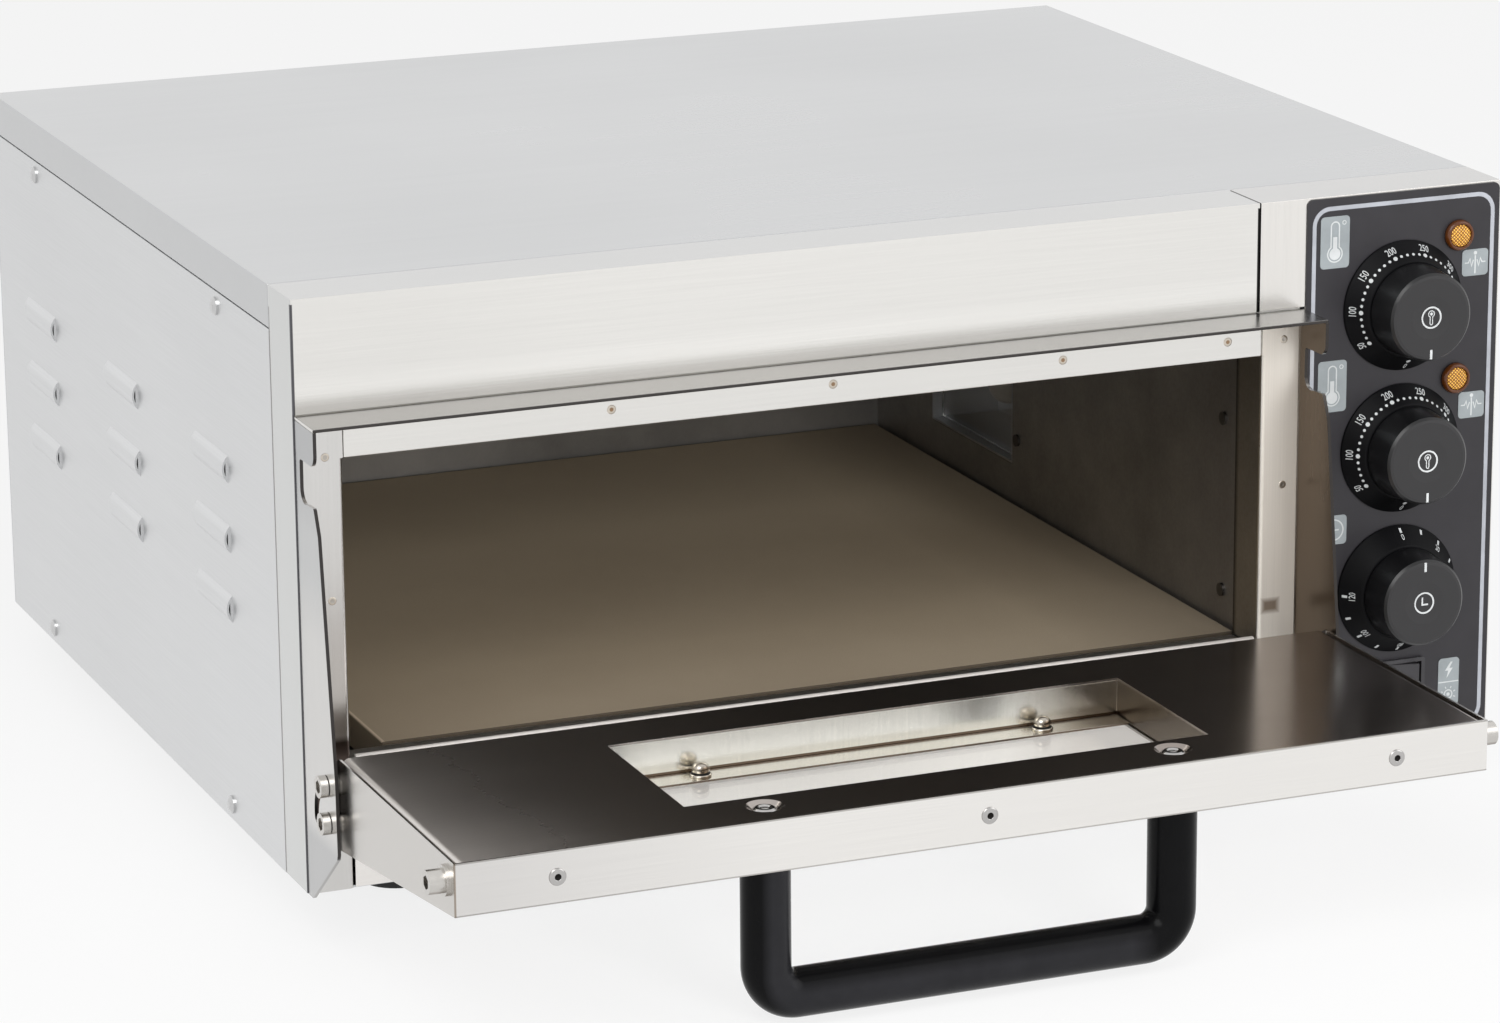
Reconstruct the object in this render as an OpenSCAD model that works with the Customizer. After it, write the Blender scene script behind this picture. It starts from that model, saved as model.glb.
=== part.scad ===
// Countertop electric pizza oven: one deck, a stone floor and a door that drops down in front.
// Millimetres. X runs to the right, the door faces -Y and Z is up.
// The pieces are drawn from the casing's front lower left corner, with the door hanging open.
// placed() then moves them, so that the origin lies under the middle of the whole outline.

/* [Casing] */
// Width of the casing
body_w = 560; // [540:5:640]
// Depth of the casing behind the front plane
body_d = 470; // [465:5:560]
// Height of the casing above its feet
body_h = 255; // [250:1:300]
// Thickness of the casing sheet
skin_t = 1; // [0.8:0.1:1.4]
// Depth of the front panels' folded returns
return_d = 30; // [20:1:45]
// Height of the folded flange round the lid
lid_flange_h = 18.5; // [14:0.5:24]
// Open seam between two casing sheets
seam = 0.5; // [0.2:0.1:0.6]
// Height of the rubber feet
foot_h = 25; // [24:1:40]
// Radius of a foot where it meets the floor
foot_r = 16; // [12:0.5:22]
// Distance of a foot's middle from the casing's edges
foot_x = 64; // [34:1:80]
// Distance from the front and back edges to a foot's middle
foot_y = 75; // [34:1:110]
// Height of the folded flange round the base tray
tray_flange_h = 14; // [12:1:20]

/* [Side louvres and screws] */
// Length of a louvre hood
louvre_l = 52; // [30:1:58]
// Height of a louvre hood
louvre_h = 12; // [8:0.5:16]
// How far a louvre hood stands out
louvre_out = 2.6; // [1.5:0.1:4]
// Distance between louvre columns
louvre_pitch_y = 137; // [120:1:139]
// Distance between louvre rows
louvre_pitch_z = 31; // [24:1:33]
// Distance of the first louvre's front end behind the front plane
louvre_first_y = 96; // [80:1:100]
// Height of the lowest louvre's middle
louvre_low_z = 98; // [85:1:105]
// Radius of a casing screw's head
screw_head_r = 4; // [3:0.1:5]
// Radius of a casing screw's thread
screw_r = 1.9; // [1.5:0.1:2.4]
// Distance of the front casing screws behind the front plane
screw_first_y = 106; // [90:1:130]
// Distance between the front and back casing screws
screw_pitch_y = 290; // [240:1:310]

/* [Front of the oven] */
// Width of the control panel
control_w = 97; // [92:1:120]
// Width of the folded strips beside the mouth
strip_w = 20; // [16:0.5:24]
// Radius of the strips' rolled edge at the mouth
roll_r = 2; // [1.6:0.1:3]
// Height of the mouth's upper edge
mouth_top_z = 186.5; // [180:0.5:187]
// Height of the rolled lip's middle, below the mouth
lip_z = 56; // [54:0.5:58]
// Radius of the rolled lip
lip_r = 2; // [1.4:0.1:2.4]
// Height of the visor over the door
visor_z = 204.5; // [200:0.5:208]
// How far the visor stands out
visor_out = 23.5; // [20:0.5:26]
// Thickness of the hinge brackets
bracket_t = 1.5; // [1.2:0.1:2]
// How far a bracket stands out at its widest, low down
bracket_out = 40.5; // [39:0.5:46]

/* [Door] */
// Height of the open door's inner face
door_top_z = 69; // [67:0.5:72]
// Distance of the open door's front edge from the front plane
door_reach = 176; // [174:0.5:184]
// Distance of the open door's rear edge from the front plane
door_rear = 34; // [33.5:0.5:38]
// Thickness of the door
door_thick = 22; // [20:0.5:24]
// Thickness of the door's sheet
door_t = 1; // [0.8:0.1:1.4]
// Radius of the inner sheet's rolled edges at the door's sides
door_roll_r = 3.5; // [2:0.1:3.6]
// Gap between the closed door and the front plane
door_closed_gap = 0.8; // [0.5:0.1:1.5]
// Height of the axis that the door turns about
hinge_z = 40.5; // [40:0.1:41.5]
// Gap between a bracket and the door's side
door_side_gap = 2.2; // [1.8:0.1:3]
// Width of the window
window_w = 233; // [200:1:250]
// Depth of the window, across the door
window_d = 86; // [70:1:90]
// Distance of the window's rear edge from the front plane
window_rear = 61; // [58:0.5:66]
// Offset of the window from the door's middle
window_shift = -4; // [-6:0.5:6]
// Thickness of the glass
glass_t = 4; // [3:0.5:5]

/* [Hinge and latch studs] */
// Radius of a hinge stud's shank
stud_r = 2.5; // [2:0.1:2.6]
// Clearance of the guide stud in its slot
slot_clear = 0.4; // [0.3:0.05:0.6]
// Radius of a hinge stud's head
stud_head_r = 4.7; // [4:0.1:5.2]
// Height of a hinge stud's head
stud_head_h = 3.2; // [2.8:0.1:6]
// Distance of the guide stud from the hinge axis
guide_arm = 15.6; // [13:0.1:17]
// Angle of the guide stud round the hinge axis, with the door open
guide_angle = 83; // [76:1:90]
// Radius of a latch stud's head
latch_r = 5; // [4:0.1:5.2]
// Distance of a latch stud behind the door's front edge
latch_inset = 10; // [9:0.5:12]
// Depth of a latch stud below the door's inner face
latch_drop = 9.5; // [8.5:0.5:11]

/* [Handle] */
// Distance between the handle's legs
handle_w = 181; // [150:1:220]
// Radius of the handle's bar
handle_r = 10.3; // [8:0.1:11]
// How far the handle stands off the door
handle_out = 69; // [55:1:70]
// Radius of the bend between leg and bar, at the middle of the bar
handle_bend = 13; // [12:0.5:20]
// Distance of the handle behind the door's front edge
handle_inset = 17.5; // [15:0.5:18]

/* [Chamber] */
// Gap between the stone and the chamber's left wall
stone_margin = 21.5; // [8:0.5:30]
// Space behind the chamber
wool_back = 40; // [30:1:60]
// Thickness of the stone
stone_t = 15; // [12:0.5:18]
// Height of the stone's upper face
stone_z = 53.5; // [50:0.5:54]
// Gap between the stone and the chamber's walls
stone_gap = 2; // [1:0.5:4]
// Distance of the chamber's side walls behind the front plane
chamber_y = 24; // [22:1:28]
// Distance of the chamber's right wall inside the oven's side of the front
chamber_inset = 16.5; // [14:0.5:20]
// Height of the chamber's floor sheet
chamber_floor_z = 16; // [12:0.5:18]
// Height of the chamber's ceiling
chamber_top_z = 204; // [202:0.5:212]
// Thickness of the chamber's sheet
liner_t = 0.8; // [0.6:0.1:1.2]
// Radius of the heating elements
heater_r = 3.5; // [3:0.1:4]
// Number of runs in a heating element
heater_runs = 4; // [4:2:6]
// Height of the lower element's middle
heater_low_z = 26.5; // [24:0.5:28]
// Distance of the upper element's middle under the ceiling
heater_drop = 13; // [12:0.5:14]
// Length of a thermostat's sensing bulb
bulb_l = 84; // [60:1:100]
// Radius of a thermostat's sensing bulb
bulb_r = 2.6; // [2:0.1:2.8]

/* [Oven lamp] */
// Distance of the lamp's window behind the front plane
lamp_y = 267; // [240:1:280]
// Length of the lamp's window
lamp_l = 93; // [70:1:100]
// Height of the lamp window's lower edge
lamp_z = 73; // [70:1:80]
// Height of the lamp's window
lamp_h = 52; // [40:1:60]
// Depth of the lamp's housing
lamp_d = 38; // [34:1:46]

/* [Control panel] */
// Thickness of the black overlay
overlay_t = 0.8; // [0.5:0.1:1]
// Distance of the top dial's middle under the casing's top
dial_drop = 52; // [50:0.5:56]
// Height of the lowest dial's middle
dial_low_z = 73; // [72:0.5:76]
// Gap between two dials
dial_gap = 6.4; // [4:0.1:10]
// Largest radius of a dial's skirt at the panel
skirt_max_r = 29.3; // [26:0.1:31]
// Radius of a dial's skirt at the knob
skirt_inner_r = 22; // [20.5:0.1:23]
// Height of a dial's skirt
skirt_h = 9.4; // [8:0.1:12]
// Radius of a knob's face
knob_r = 19.5; // [17:0.1:20]
// Taper of a knob, from its base to its face
knob_taper = 1.3; // [0.5:0.1:1.8]
// Radius of the dish in a knob's face
dish_edge_r = 9.6; // [7:0.1:12]
// Depth of the dish in a knob's face
dish_d = 0.7; // [0.4:0.1:1]
// Distance of a knob's face from the panel
knob_face = 27; // [24:0.5:32]
// Radius of a knob's spindle
spindle_r = 3; // [2.5:0.1:3.5]
// Radial play of a turning spindle or pin
running_fit = 0.05; // [0.02:0.01:0.1]
// Offset of the pilot lamps from the dials' middle line
pilot_x = 27.3; // [24:0.1:30]
// Height of a pilot lamp over its dial's middle
pilot_dz = 29.1; // [27:0.1:30]
// Radius of a pilot lamp's rim
pilot_rim_r = 7; // [6:0.1:7.4]
// Radius of a pilot lamp's lens
pilot_lens_r = 5.2; // [4:0.1:5.4]
// Width of the switch's bezel
switch_w = 30; // [28:0.5:34]
// Height of the switch's bezel
switch_h = 28; // [26:0.5:30]
// Height of the switch's middle
switch_z = 25.5; // [24:0.5:28]
// Angle that a rocker tips through
rocker_tilt = 16; // [10:1:18]

/* [Hidden] */

$fn = 48;
eps = 0.01;         // cutters run this far past a face
e1 = 1;             // cutters of through holes run this far past both faces

// Casing
body_r = body_w - skin_t;                   // inner face of the right side panel
body_b = body_d - skin_t;                   // inner face of the back panel
lid_seam_z = body_h - lid_flange_h - seam;  // top edge of the side and back panels
back_inset = 30;                            // back screws from the casing's edges
screw_low_z = 7;                            // lower casing screws, in the tray's flange
screw_top_z = lid_seam_z - 6.6;             // upper casing screws, in the rails
screw_end = 3;                              // a casing screw passes the sheets by this much
rail_w = 14;                                // width of a top rail's flat leg
rail_drop = screw_top_z - 8;                // lower edge of a top rail
foot_top_r = foot_r + 3;                    // a foot widens towards the casing
foot_neck = 6;                              // radius of a foot's boss in the tray
foot_boss = 2;                              // the boss stands this far over the tray

// Louvres: a hood is the cap of a long cylinder, closed behind by a part of a ball
louvre_r = (louvre_h * louvre_h / 4 + louvre_out * louvre_out) / (2 * louvre_out);
louvre_cols = 3;
louvre_rows = 3;

// Front of the oven
oven_w = body_w - control_w;                // the oven's side of the front
bracket_x = 0.5;                            // outer face of the left bracket
mouth_x0 = bracket_x + strip_w;
mouth_x1 = oven_w - strip_w;
band_z = visor_z + bracket_t + seam;        // lower edge of the plain band over the visor
control_x = oven_w + control_w / 2;         // middle line of the control panel
control_lap = 21.7;                         // the control plate runs this far over the oven
control_x0 = oven_w - control_lap;
lip_y = lip_r + 0.2;
sill_z = lip_z - lip_r - 1;                 // height of the sill's shelf
sill_back = chamber_y - 1;

// Door, drawn open
door_x0 = bracket_x + bracket_t + door_side_gap;
door_x1 = oven_w - bracket_t - door_side_gap;
door_mid = (door_x0 + door_x1) / 2;
door_low_z = door_top_z - door_thick;       // outer face of the skin
door_front = -door_reach;
hinge_y = -(door_top_z - hinge_z) - door_closed_gap;
guide_y = hinge_y + guide_arm * cos(guide_angle);
guide_z = hinge_z + guide_arm * sin(guide_angle);
slot_r = stud_r + slot_clear;
latch_y = door_front + latch_inset;
latch_z = door_top_z - latch_drop;
// The closed door has turned a quarter, so depth and height change places about the axis
latch_home_y = hinge_y + (latch_z - hinge_z);
latch_home_z = hinge_z - (latch_y - hinge_y);
ear_r = 11;                                 // the side plates' ears round the pivot
ear_low_z = hinge_z - ear_r;
ear_back = hinge_y + ear_r;
ear_top_z = guide_z + 5;
window_x0 = door_mid + window_shift - window_w / 2;
window_x1 = window_x0 + window_w;
window_y1 = -window_rear;
window_y0 = window_y1 - window_d;
glass_z = door_low_z + door_t;              // the glass lies on the skin
glass_lap = 6;                              // the glass runs this far under the frame
retainer_w = 13;
retainer_t = 1;
retainer_z = glass_z + glass_t;
nut_dx = 78;                                // retainer nuts from the window's middle
handle_y = door_front + handle_inset;
handle_x0 = door_mid - handle_w / 2;
handle_x1 = handle_x0 + handle_w;
bar_z = door_low_z - handle_out + handle_r; // middle of the handle's bar
handle_screw_r = 3;
handle_screw_in = 24;                       // a handle screw reaches this far into its leg
dimple_r = 8;
dimple_d = 2;
door_rivet_pitch = 185;
door_rivet_r = 3.6;
washer_t = 1.6;
latch_h = 6.6;                              // height of a latch stud's head

// Chamber
chamber_x1 = oven_w - chamber_inset;
chamber_x0 = mouth_x0 + 0.5;                // face of the chamber's left wall
chamber_b = body_d - wool_back;             // face of the chamber's back wall
stone_x0 = chamber_x0 + stone_margin;
stone_x1 = chamber_x1 - stone_gap;
stone_y = chamber_y + stone_gap;
stone_b = chamber_b - stone_gap;
stone_low_z = stone_z - stone_t;
upper_heater_z = chamber_top_z - heater_drop;
heater_margin = 50;                         // first run behind the chamber's front
heater_pitch = (chamber_b - chamber_y - 2 * heater_margin) / (heater_runs - 1);
heater_bend = heater_pitch / 2;
heater_end = oven_w + 11;                   // element ends, past the partition
hole_clear = 1;                             // free space round what passes a sheet
partition_x = oven_w;
fill_gap = 0.4;                             // insulation stays this clear of the sheets
lamp_x1 = chamber_x1 + liner_t + lamp_d;
lamp_wall = 1;

// Thermostats: bulb, tube and body
body_side = 36;                             // side of a thermostat's or the timer's box
body_depth = 30;
bulb_x = chamber_x1 - 10;
bulb_y = 96;
upper_bulb_z = chamber_top_z - bulb_r - 2;
lower_bulb_z = stone_low_z - bulb_r - 1.5;
tube_r = 1;
tube_bend = 6;
tube_x = control_x - 10;                    // where a tube turns towards its thermostat
tube_y = bulb_y + bulb_l + tube_bend;       // a tube's straight run through the walls

// Control panel
panel_y = -overlay_t;                       // face of the overlay
dial_pitch = (body_h - dial_drop - dial_low_z) / 2;
dial_z = [dial_low_z + 2 * dial_pitch, dial_low_z + dial_pitch, dial_low_z];
skirt_r = min(skirt_max_r, (dial_pitch - dial_gap) / 2);
dish_r = (dish_edge_r ^ 2 + dish_d ^ 2) / (2 * dish_d);
knob_base = panel_y - skirt_h - 0.6;        // the knob runs clear of its skirt
knob_front = panel_y - knob_face;
spindle_hole = spindle_r + 1;
rocker_gap = 0.4;
switch_rim = 1.8;
rocker_w = switch_w - 2 * switch_rim - 2 * rocker_gap;
rocker_h = (switch_h - 3 * switch_rim) / 2 - 2 * rocker_gap;
rocker_dz = (rocker_h + 2 * rocker_gap + switch_rim) / 2;
pilot_body = 14;                            // a pilot lamp reaches this far behind the front
rocker_pin_r = 1.2;
rocker_pin_y = 3;                           // rocker pin behind the front plane
switch_depth = 20;

// Outline, for the origin
gland_x = control_x;
gland_z = 62;
gland_r = 9;
gland_out = 14;
gland_bore_r = 4.2;
out_left = min(bracket_x - stud_head_h - 0.3, door_x0 - washer_t - latch_h);
out_right = body_w + louvre_out;
out_back = body_d + gland_out;
mid_x = (out_left + out_right) / 2;
mid_y = (door_front + out_back) / 2;

steel = [0.78, 0.78, 0.77];
bright = [0.88, 0.88, 0.88];
dark_steel = [0.36, 0.35, 0.34];
black = [0.1, 0.1, 0.11];
stone_colour = [0.5, 0.46, 0.38];
wool = [0.86, 0.82, 0.7];
amber = [0.95, 0.6, 0.12];
zinc = [0.72, 0.7, 0.62];

// ---------- Helpers ----------

module placed() {
    translate([-mid_x, -mid_y, foot_h]) children();
}

// A block between two opposite corners
module block(a, b) {
    translate(a) cube(b - a);
}

module rod_x(r, x0, x1, y, z) {
    translate([x0, y, z]) rotate([0, 90, 0]) cylinder(r = r, h = x1 - x0);
}

module rod_y(r, y0, y1, x, z) {
    translate([x, y1, z]) rotate([90, 0, 0]) cylinder(r = r, h = y1 - y0);
}

module rod_z(r, z0, z1, x, y) {
    translate([x, y, z0]) cylinder(r = r, h = z1 - z0);
}

// A flat shape drawn in X and Z, with its thickness between two depths
module across(y0, y1) {
    translate([0, y1, 0]) rotate([90, 0, 0]) linear_extrude(y1 - y0) children();
}

// A flat shape drawn in Y and Z, with its thickness between two places on X
module along(x0, x1) {
    translate([x0, 0, 0]) rotate([90, 0, 90]) linear_extrude(x1 - x0) children();
}

module rounded(x0, z0, x1, z1, r) {
    translate([x0 + r, z0]) square([x1 - x0 - 2 * r, z1 - z0]);
    translate([x0, z0 + r]) square([x1 - x0, z1 - z0 - 2 * r]);
    for (x = [x0 + r, x1 - r], z = [z0 + r, z1 - r]) translate([x, z]) circle(r = r);
}

// Points of an arc, without its first one
function arc(c, r, a0, a1, n) =
    [for (i = [1:n]) let (a = a0 + (a1 - a0) * i / n) c + r * [cos(a), sin(a)]];

// A quarter or half bend of round bar, in the XY plane round the origin
module bend(r, bend_r, a0, a1) {
    rotate([0, 0, a0]) rotate_extrude(angle = a1 - a0) translate([bend_r, 0]) circle(r = r);
}

// Copies a left-hand piece to the right-hand side of the door
module both_sides() {
    children();
    translate([bracket_x + oven_w, 0, 0]) mirror([1, 0, 0]) children();
}

// ---------- Casing ----------

module top_cover() color(steel) placed() {
    y0 = return_d + seam;
    z0 = body_h - lid_flange_h;
    block([0, y0, body_h - skin_t], [body_w, body_d, body_h]);
    for (x = [0, body_r]) block([x, y0, z0], [x + skin_t, body_d, body_h]);
    block([0, body_b, z0], [body_w, body_d, body_h]);
}

// One hood, its open end at the origin and facing -Y, standing out along -X
module louvre(grow) {
    r = louvre_r + grow;
    x = louvre_r - louvre_out;
    intersection() {
        union() {
            rod_y(r, 0, louvre_l - louvre_h / 2, x, 0);
            translate([x, louvre_l - louvre_h / 2, 0]) sphere(r = r);
        }
        block([-louvre_out - 1, -eps, -louvre_h], [skin_t + grow * 2, louvre_l + 1, louvre_h]);
    }
}

module at_louvres() {
    for (i = [0:louvre_cols - 1], j = [0:louvre_rows - 1])
        translate([0, louvre_first_y + i * louvre_pitch_y, louvre_low_z + j * louvre_pitch_z])
            children();
}

module at_casing_screws() {
    for (y = [screw_first_y, screw_first_y + screw_pitch_y], z = [screw_low_z, screw_top_z])
        translate([0, y, z]) children();
}

module side_panel() {
    difference() {
        union() {
            block([0, return_d + seam, 0], [skin_t, body_b - seam, lid_seam_z]);
            at_louvres() louvre(0);
        }
        at_louvres() translate([0, -e1 / 2, 0]) louvre(-skin_t);
        at_casing_screws() rod_x(screw_r + 0.2, -e1, skin_t + e1, 0, 0);
    }
}

module left_side_panel() color(steel) placed() side_panel();

module right_side_panel() color(steel) placed()
    translate([body_w, 0, 0]) mirror([1, 0, 0]) side_panel();

vent_l = 60;
vent_h = 5;
vent_pitch = 14;

module back_panel() color(steel) placed() difference() {
    block([0, body_b, 0], [body_w, body_d, lid_seam_z]);
    rod_y(gland_r - 2 + 0.1, body_b - e1, body_d + e1, gland_x, gland_z);
    for (i = [0:4]) across(body_b - e1, body_d + e1)
        rounded(control_x - vent_l / 2, 130 + i * vent_pitch,
                control_x + vent_l / 2, 130 + i * vent_pitch + vent_h, vent_h / 2 - eps);
    at_back_screws() rod_y(screw_r + 0.2, body_b - e1, body_d + e1, 0, 0);
}

module at_back_screws() {
    for (x = [back_inset, body_w - back_inset], z = [screw_low_z, screw_top_z])
        translate([x, 0, z]) children();
}

module at_feet() {
    for (x = [foot_x, body_w - foot_x], y = [foot_y, body_d - foot_y])
        translate([x, y, 0]) children();
}

module base_tray() color(steel) placed() difference() {
    union() {
        block([skin_t, skin_t, 0], [body_r, body_b, skin_t]);
        for (x = [skin_t, body_r - skin_t])
            block([x, return_d + 2, 0], [x + skin_t, body_b, tray_flange_h]);
        block([skin_t, body_b - skin_t, 0], [body_r, body_b, tray_flange_h]);
    }
    at_feet() rod_z(foot_neck, -e1, skin_t + e1, 0, 0);
    for (x = [skin_t, body_r - skin_t]) translate([x, 0, 0])
        at_casing_screws() rod_x(screw_r, -e1, skin_t + e1, 0, 0);
    at_back_screws() rod_y(screw_r, body_b - skin_t - e1, body_b + e1, 0, 0);
}

// Angle rails under the lid, which the side and back panels are screwed to
module top_rails() color(steel) placed() difference() {
    z1 = body_h - skin_t;
    union() {
        for (side = [0, 1]) translate([side * body_w, 0, 0]) mirror([side, 0, 0]) {
            block([skin_t, return_d + 2, rail_drop], [2 * skin_t, body_b, z1]);
            block([skin_t, return_d + 2, z1 - skin_t], [rail_w, body_b, z1]);
            block([skin_t, body_b - skin_t, rail_drop], [back_inset + rail_w, body_b, z1]);
        }
    }
    for (x = [skin_t, body_r - skin_t]) translate([x, 0, 0])
        at_casing_screws() rod_x(screw_r, -e1, skin_t + e1, 0, 0);
    at_back_screws() rod_y(screw_r, body_b - skin_t - e1, body_b + e1, 0, 0);
}

module screw(head_r, r, l) {
    intersection() {
        rod_x(head_r, -2, 0, 0, 0);
        translate([head_r * 1.35 - 1.2, 0, 0]) sphere(r = head_r * 1.6);
    }
    rod_x(r, -eps, l, 0, 0);
}

module casing_screws() color(bright) placed() {
    l = 2 * skin_t + screw_end;
    at_casing_screws() screw(screw_head_r, screw_r, l);
    translate([body_w, 0, 0]) mirror([1, 0, 0]) at_casing_screws() screw(screw_head_r, screw_r, l);
    at_back_screws() translate([0, body_d, 0]) rotate([0, 0, -90])
        screw(screw_head_r, screw_r, l);
}

module rubber_feet() color(black) placed() at_feet() {
    translate([0, 0, -foot_h]) cylinder(r1 = foot_r, r2 = foot_top_r, h = foot_h);
    cylinder(r = foot_neck - 0.1, h = skin_t + foot_boss);
}

module cable_gland() color(black) placed() difference() {
    union() {
        rod_y(gland_r, body_d, body_d + 5, gland_x, gland_z);
        translate([gland_x, body_d + 5, gland_z]) rotate([-90, 0, 0])
            cylinder(r1 = gland_r - 1, r2 = gland_r - 3, h = gland_out - 5);
        rod_y(gland_r - 2, body_b - 6, body_d + eps, gland_x, gland_z);
        rod_y(gland_r, body_b - 6, body_b, gland_x, gland_z);
    }
    rod_y(gland_bore_r, body_b - 6 - e1, out_back + e1, gland_x, gland_z);
}

// ---------- Front ----------

// Plain band over the visor, left and top returns, and the legs behind the welded strips
module front_frame() color(steel) placed() {
    x1 = control_x0 - seam;
    block([0, 0, band_z], [x1, skin_t, body_h]);
    block([0, 0, body_h - skin_t], [x1, return_d, body_h]);
    block([0, skin_t, 0], [skin_t, return_d, body_h]);
    block([0, 0, band_z], [skin_t, return_d, body_h]);
    block([0, skin_t, skin_t], [mouth_x0 - roll_r, 2 * skin_t, body_h - skin_t]);
    block([mouth_x1 + roll_r, skin_t, skin_t], [oven_w - 1, 2 * skin_t, band_z]);
    block([0, skin_t, mouth_top_z], [oven_w - 1, 2 * skin_t, band_z + 4]);
}

module panel_holes(y0, y1) {
    for (z = dial_z) rod_y(spindle_hole + 3, y0 - e1, y1 + e1, control_x, z);
    at_pilots() rod_y(pilot_lens_r, y0 - e1, y1 + e1, 0, 0);
    s = switch_rim;
    block([control_x - switch_w / 2 + s, y0 - e1, switch_z - switch_h / 2 + s],
          [control_x + switch_w / 2 - s, y1 + e1, switch_z + switch_h / 2 - s]);
}

// Stainless plate behind the overlay; a tongue of it shows over the visor
module control_plate() color(steel) placed() difference() {
    union() {
        block([oven_w + seam, 0, 0], [body_w, skin_t, body_h]);
        block([control_x0, 0, band_z], [body_w, skin_t, body_h]);
        block([control_x0, 0, body_h - skin_t], [body_w, return_d, body_h]);
        block([body_r, 0, 0], [body_w, return_d, body_h]);
    }
    panel_holes(0, skin_t);
}

overlay_edge = 0.8;
overlay_corner = 3;

module control_overlay() color(black) placed() difference() {
    across(panel_y, 0)
        rounded(oven_w + overlay_edge, overlay_edge, body_w - overlay_edge,
                body_h - overlay_edge, overlay_corner);
    panel_holes(panel_y, 0);
}

plate_t = 0.25;
plate_corner = 1.8;
// Each icon plate: offset from the dials' middle line, height, width and height of the plate
icon_list = [
    [-34.2, dial_z[0] + 31.4, 14.2, 23.3],
    [-34.2, dial_z[1] + 31.4, 14.2, 23.3],
    [-32.0, dial_z[2] + 30.4, 13, 13.4],
    [36, dial_z[0] + 15.9, 13, 12],
    [36, dial_z[1] + 15.9, 13, 12],
    [28.2, switch_z, 10.6, 22.4]
];

module icon_plates() color([0.6, 0.63, 0.64]) placed() {
    for (p = icon_list) across(panel_y - plate_t, panel_y)
        rounded(control_x + p[0] - p[2] / 2, p[1] - p[3] / 2,
                control_x + p[0] + p[2] / 2, p[1] + p[3] / 2, plate_corner);
}

// ---------- Surround of the door ----------

bracket_foot = 5;                       // depth of the bracket at its lower end
bracket_low_z = 29;                     // the bracket is widest from here up
bracket_knee_z = 60;
ear_drop = 12.5;                        // the notch's roof above the latched stud
ear_corner = 5;
lip_rise = 0.9;                         // the stud drops this far behind the notch's lip
latch_clear = 0.6;

// Side view of a bracket, in depth and height. The latch studs come in at the front of its
// notch and drop behind the lip.
module bracket_profile() {
    r = latch_r + latch_clear;
    low = latch_home_z - r;
    roof = latch_home_z + ear_drop;
    front = -visor_out;
    difference() {
        polygon(concat(
            [[skin_t, 0], [-bracket_foot, 0], [-bracket_out + 1, bracket_low_z - 1.5],
             [-bracket_out, bracket_low_z + 1], [-bracket_out + 0.8, bracket_knee_z],
             [front - 3, low - 10], [front + 1.5, low], [front + 2.3, low + lip_rise]],
            arc([latch_home_y, latch_home_z], r, 180 + asin((r - lip_rise) / r), 360, 10),
            arc([latch_home_y + r - 2, roof - 2], 2, 0, 90, 4),
            arc([front + ear_corner, roof + ear_corner], ear_corner, 270, 180, 6),
            [[front, visor_z], [skin_t, visor_z]]
        ));
        translate([hinge_y, hinge_z]) slot_profile();
    }
}

// Round hole for the pivot stud, and the slot that the guide stud follows round it
module slot_profile() {
    a0 = guide_angle - 90;
    a1 = guide_angle;
    circle(r = stud_r + running_fit);
    polygon(concat(
        arc([0, 0], guide_arm + slot_r, a0, a1, 16),
        arc(guide_arm * [cos(a1), sin(a1)], slot_r, a1, a1 + 180, 8),
        arc([0, 0], guide_arm - slot_r, a1, a0, 12),
        arc(guide_arm * [cos(a0), sin(a0)], slot_r, a0 + 180, a0 + 360, 8)
    ));
}

// Plate that stands out, with a strip beside the mouth whose inner edge is rolled back
module hinge_bracket() {
    along(bracket_x, bracket_x + bracket_t) bracket_profile();
    block([bracket_x, 0, mouth_top_z], [mouth_x0, skin_t, visor_z]);
    x = mouth_x0 - roll_r;
    linear_extrude(mouth_top_z) polygon(concat(
        [[bracket_x, skin_t], [bracket_x, 0], [x, 0]],
        arc([x, roll_r], roll_r, -90, 0, 8),
        [[mouth_x0 - skin_t, roll_r]],
        arc([x, roll_r], roll_r - skin_t, 0, -90, 6)
    ));
}

module left_hinge_bracket() color(steel) placed() hinge_bracket();

module right_hinge_bracket() color(steel) placed()
    translate([bracket_x + oven_w, 0, 0]) mirror([1, 0, 0]) hinge_bracket();

module visor() color(steel) placed() {
    block([bracket_x, -visor_out, visor_z], [oven_w, 0, visor_z + bracket_t]);
    block([bracket_x, -eps, visor_z], [oven_w, skin_t, visor_z + bracket_t]);
    block([mouth_x0 + seam, 0, mouth_top_z], [mouth_x1 - seam, skin_t, visor_z + eps]);
}

// Panel below the mouth, with a rolled lip, a shelf up to the stone and a fold down behind
module sill() color(bright) placed() {
    x0 = mouth_x0 + seam;
    x1 = mouth_x1 - seam;
    block([x0, 0, seam], [x1, skin_t, lip_z]);
    rod_x(lip_r, x0 + 1.8, x1 - 0.6, lip_y, lip_z);
    block([x0, skin_t / 2, sill_z - skin_t], [x1, sill_back, sill_z]);
    block([x0, sill_back - skin_t, skin_t + seam], [x1, sill_back, sill_z]);
}

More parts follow.
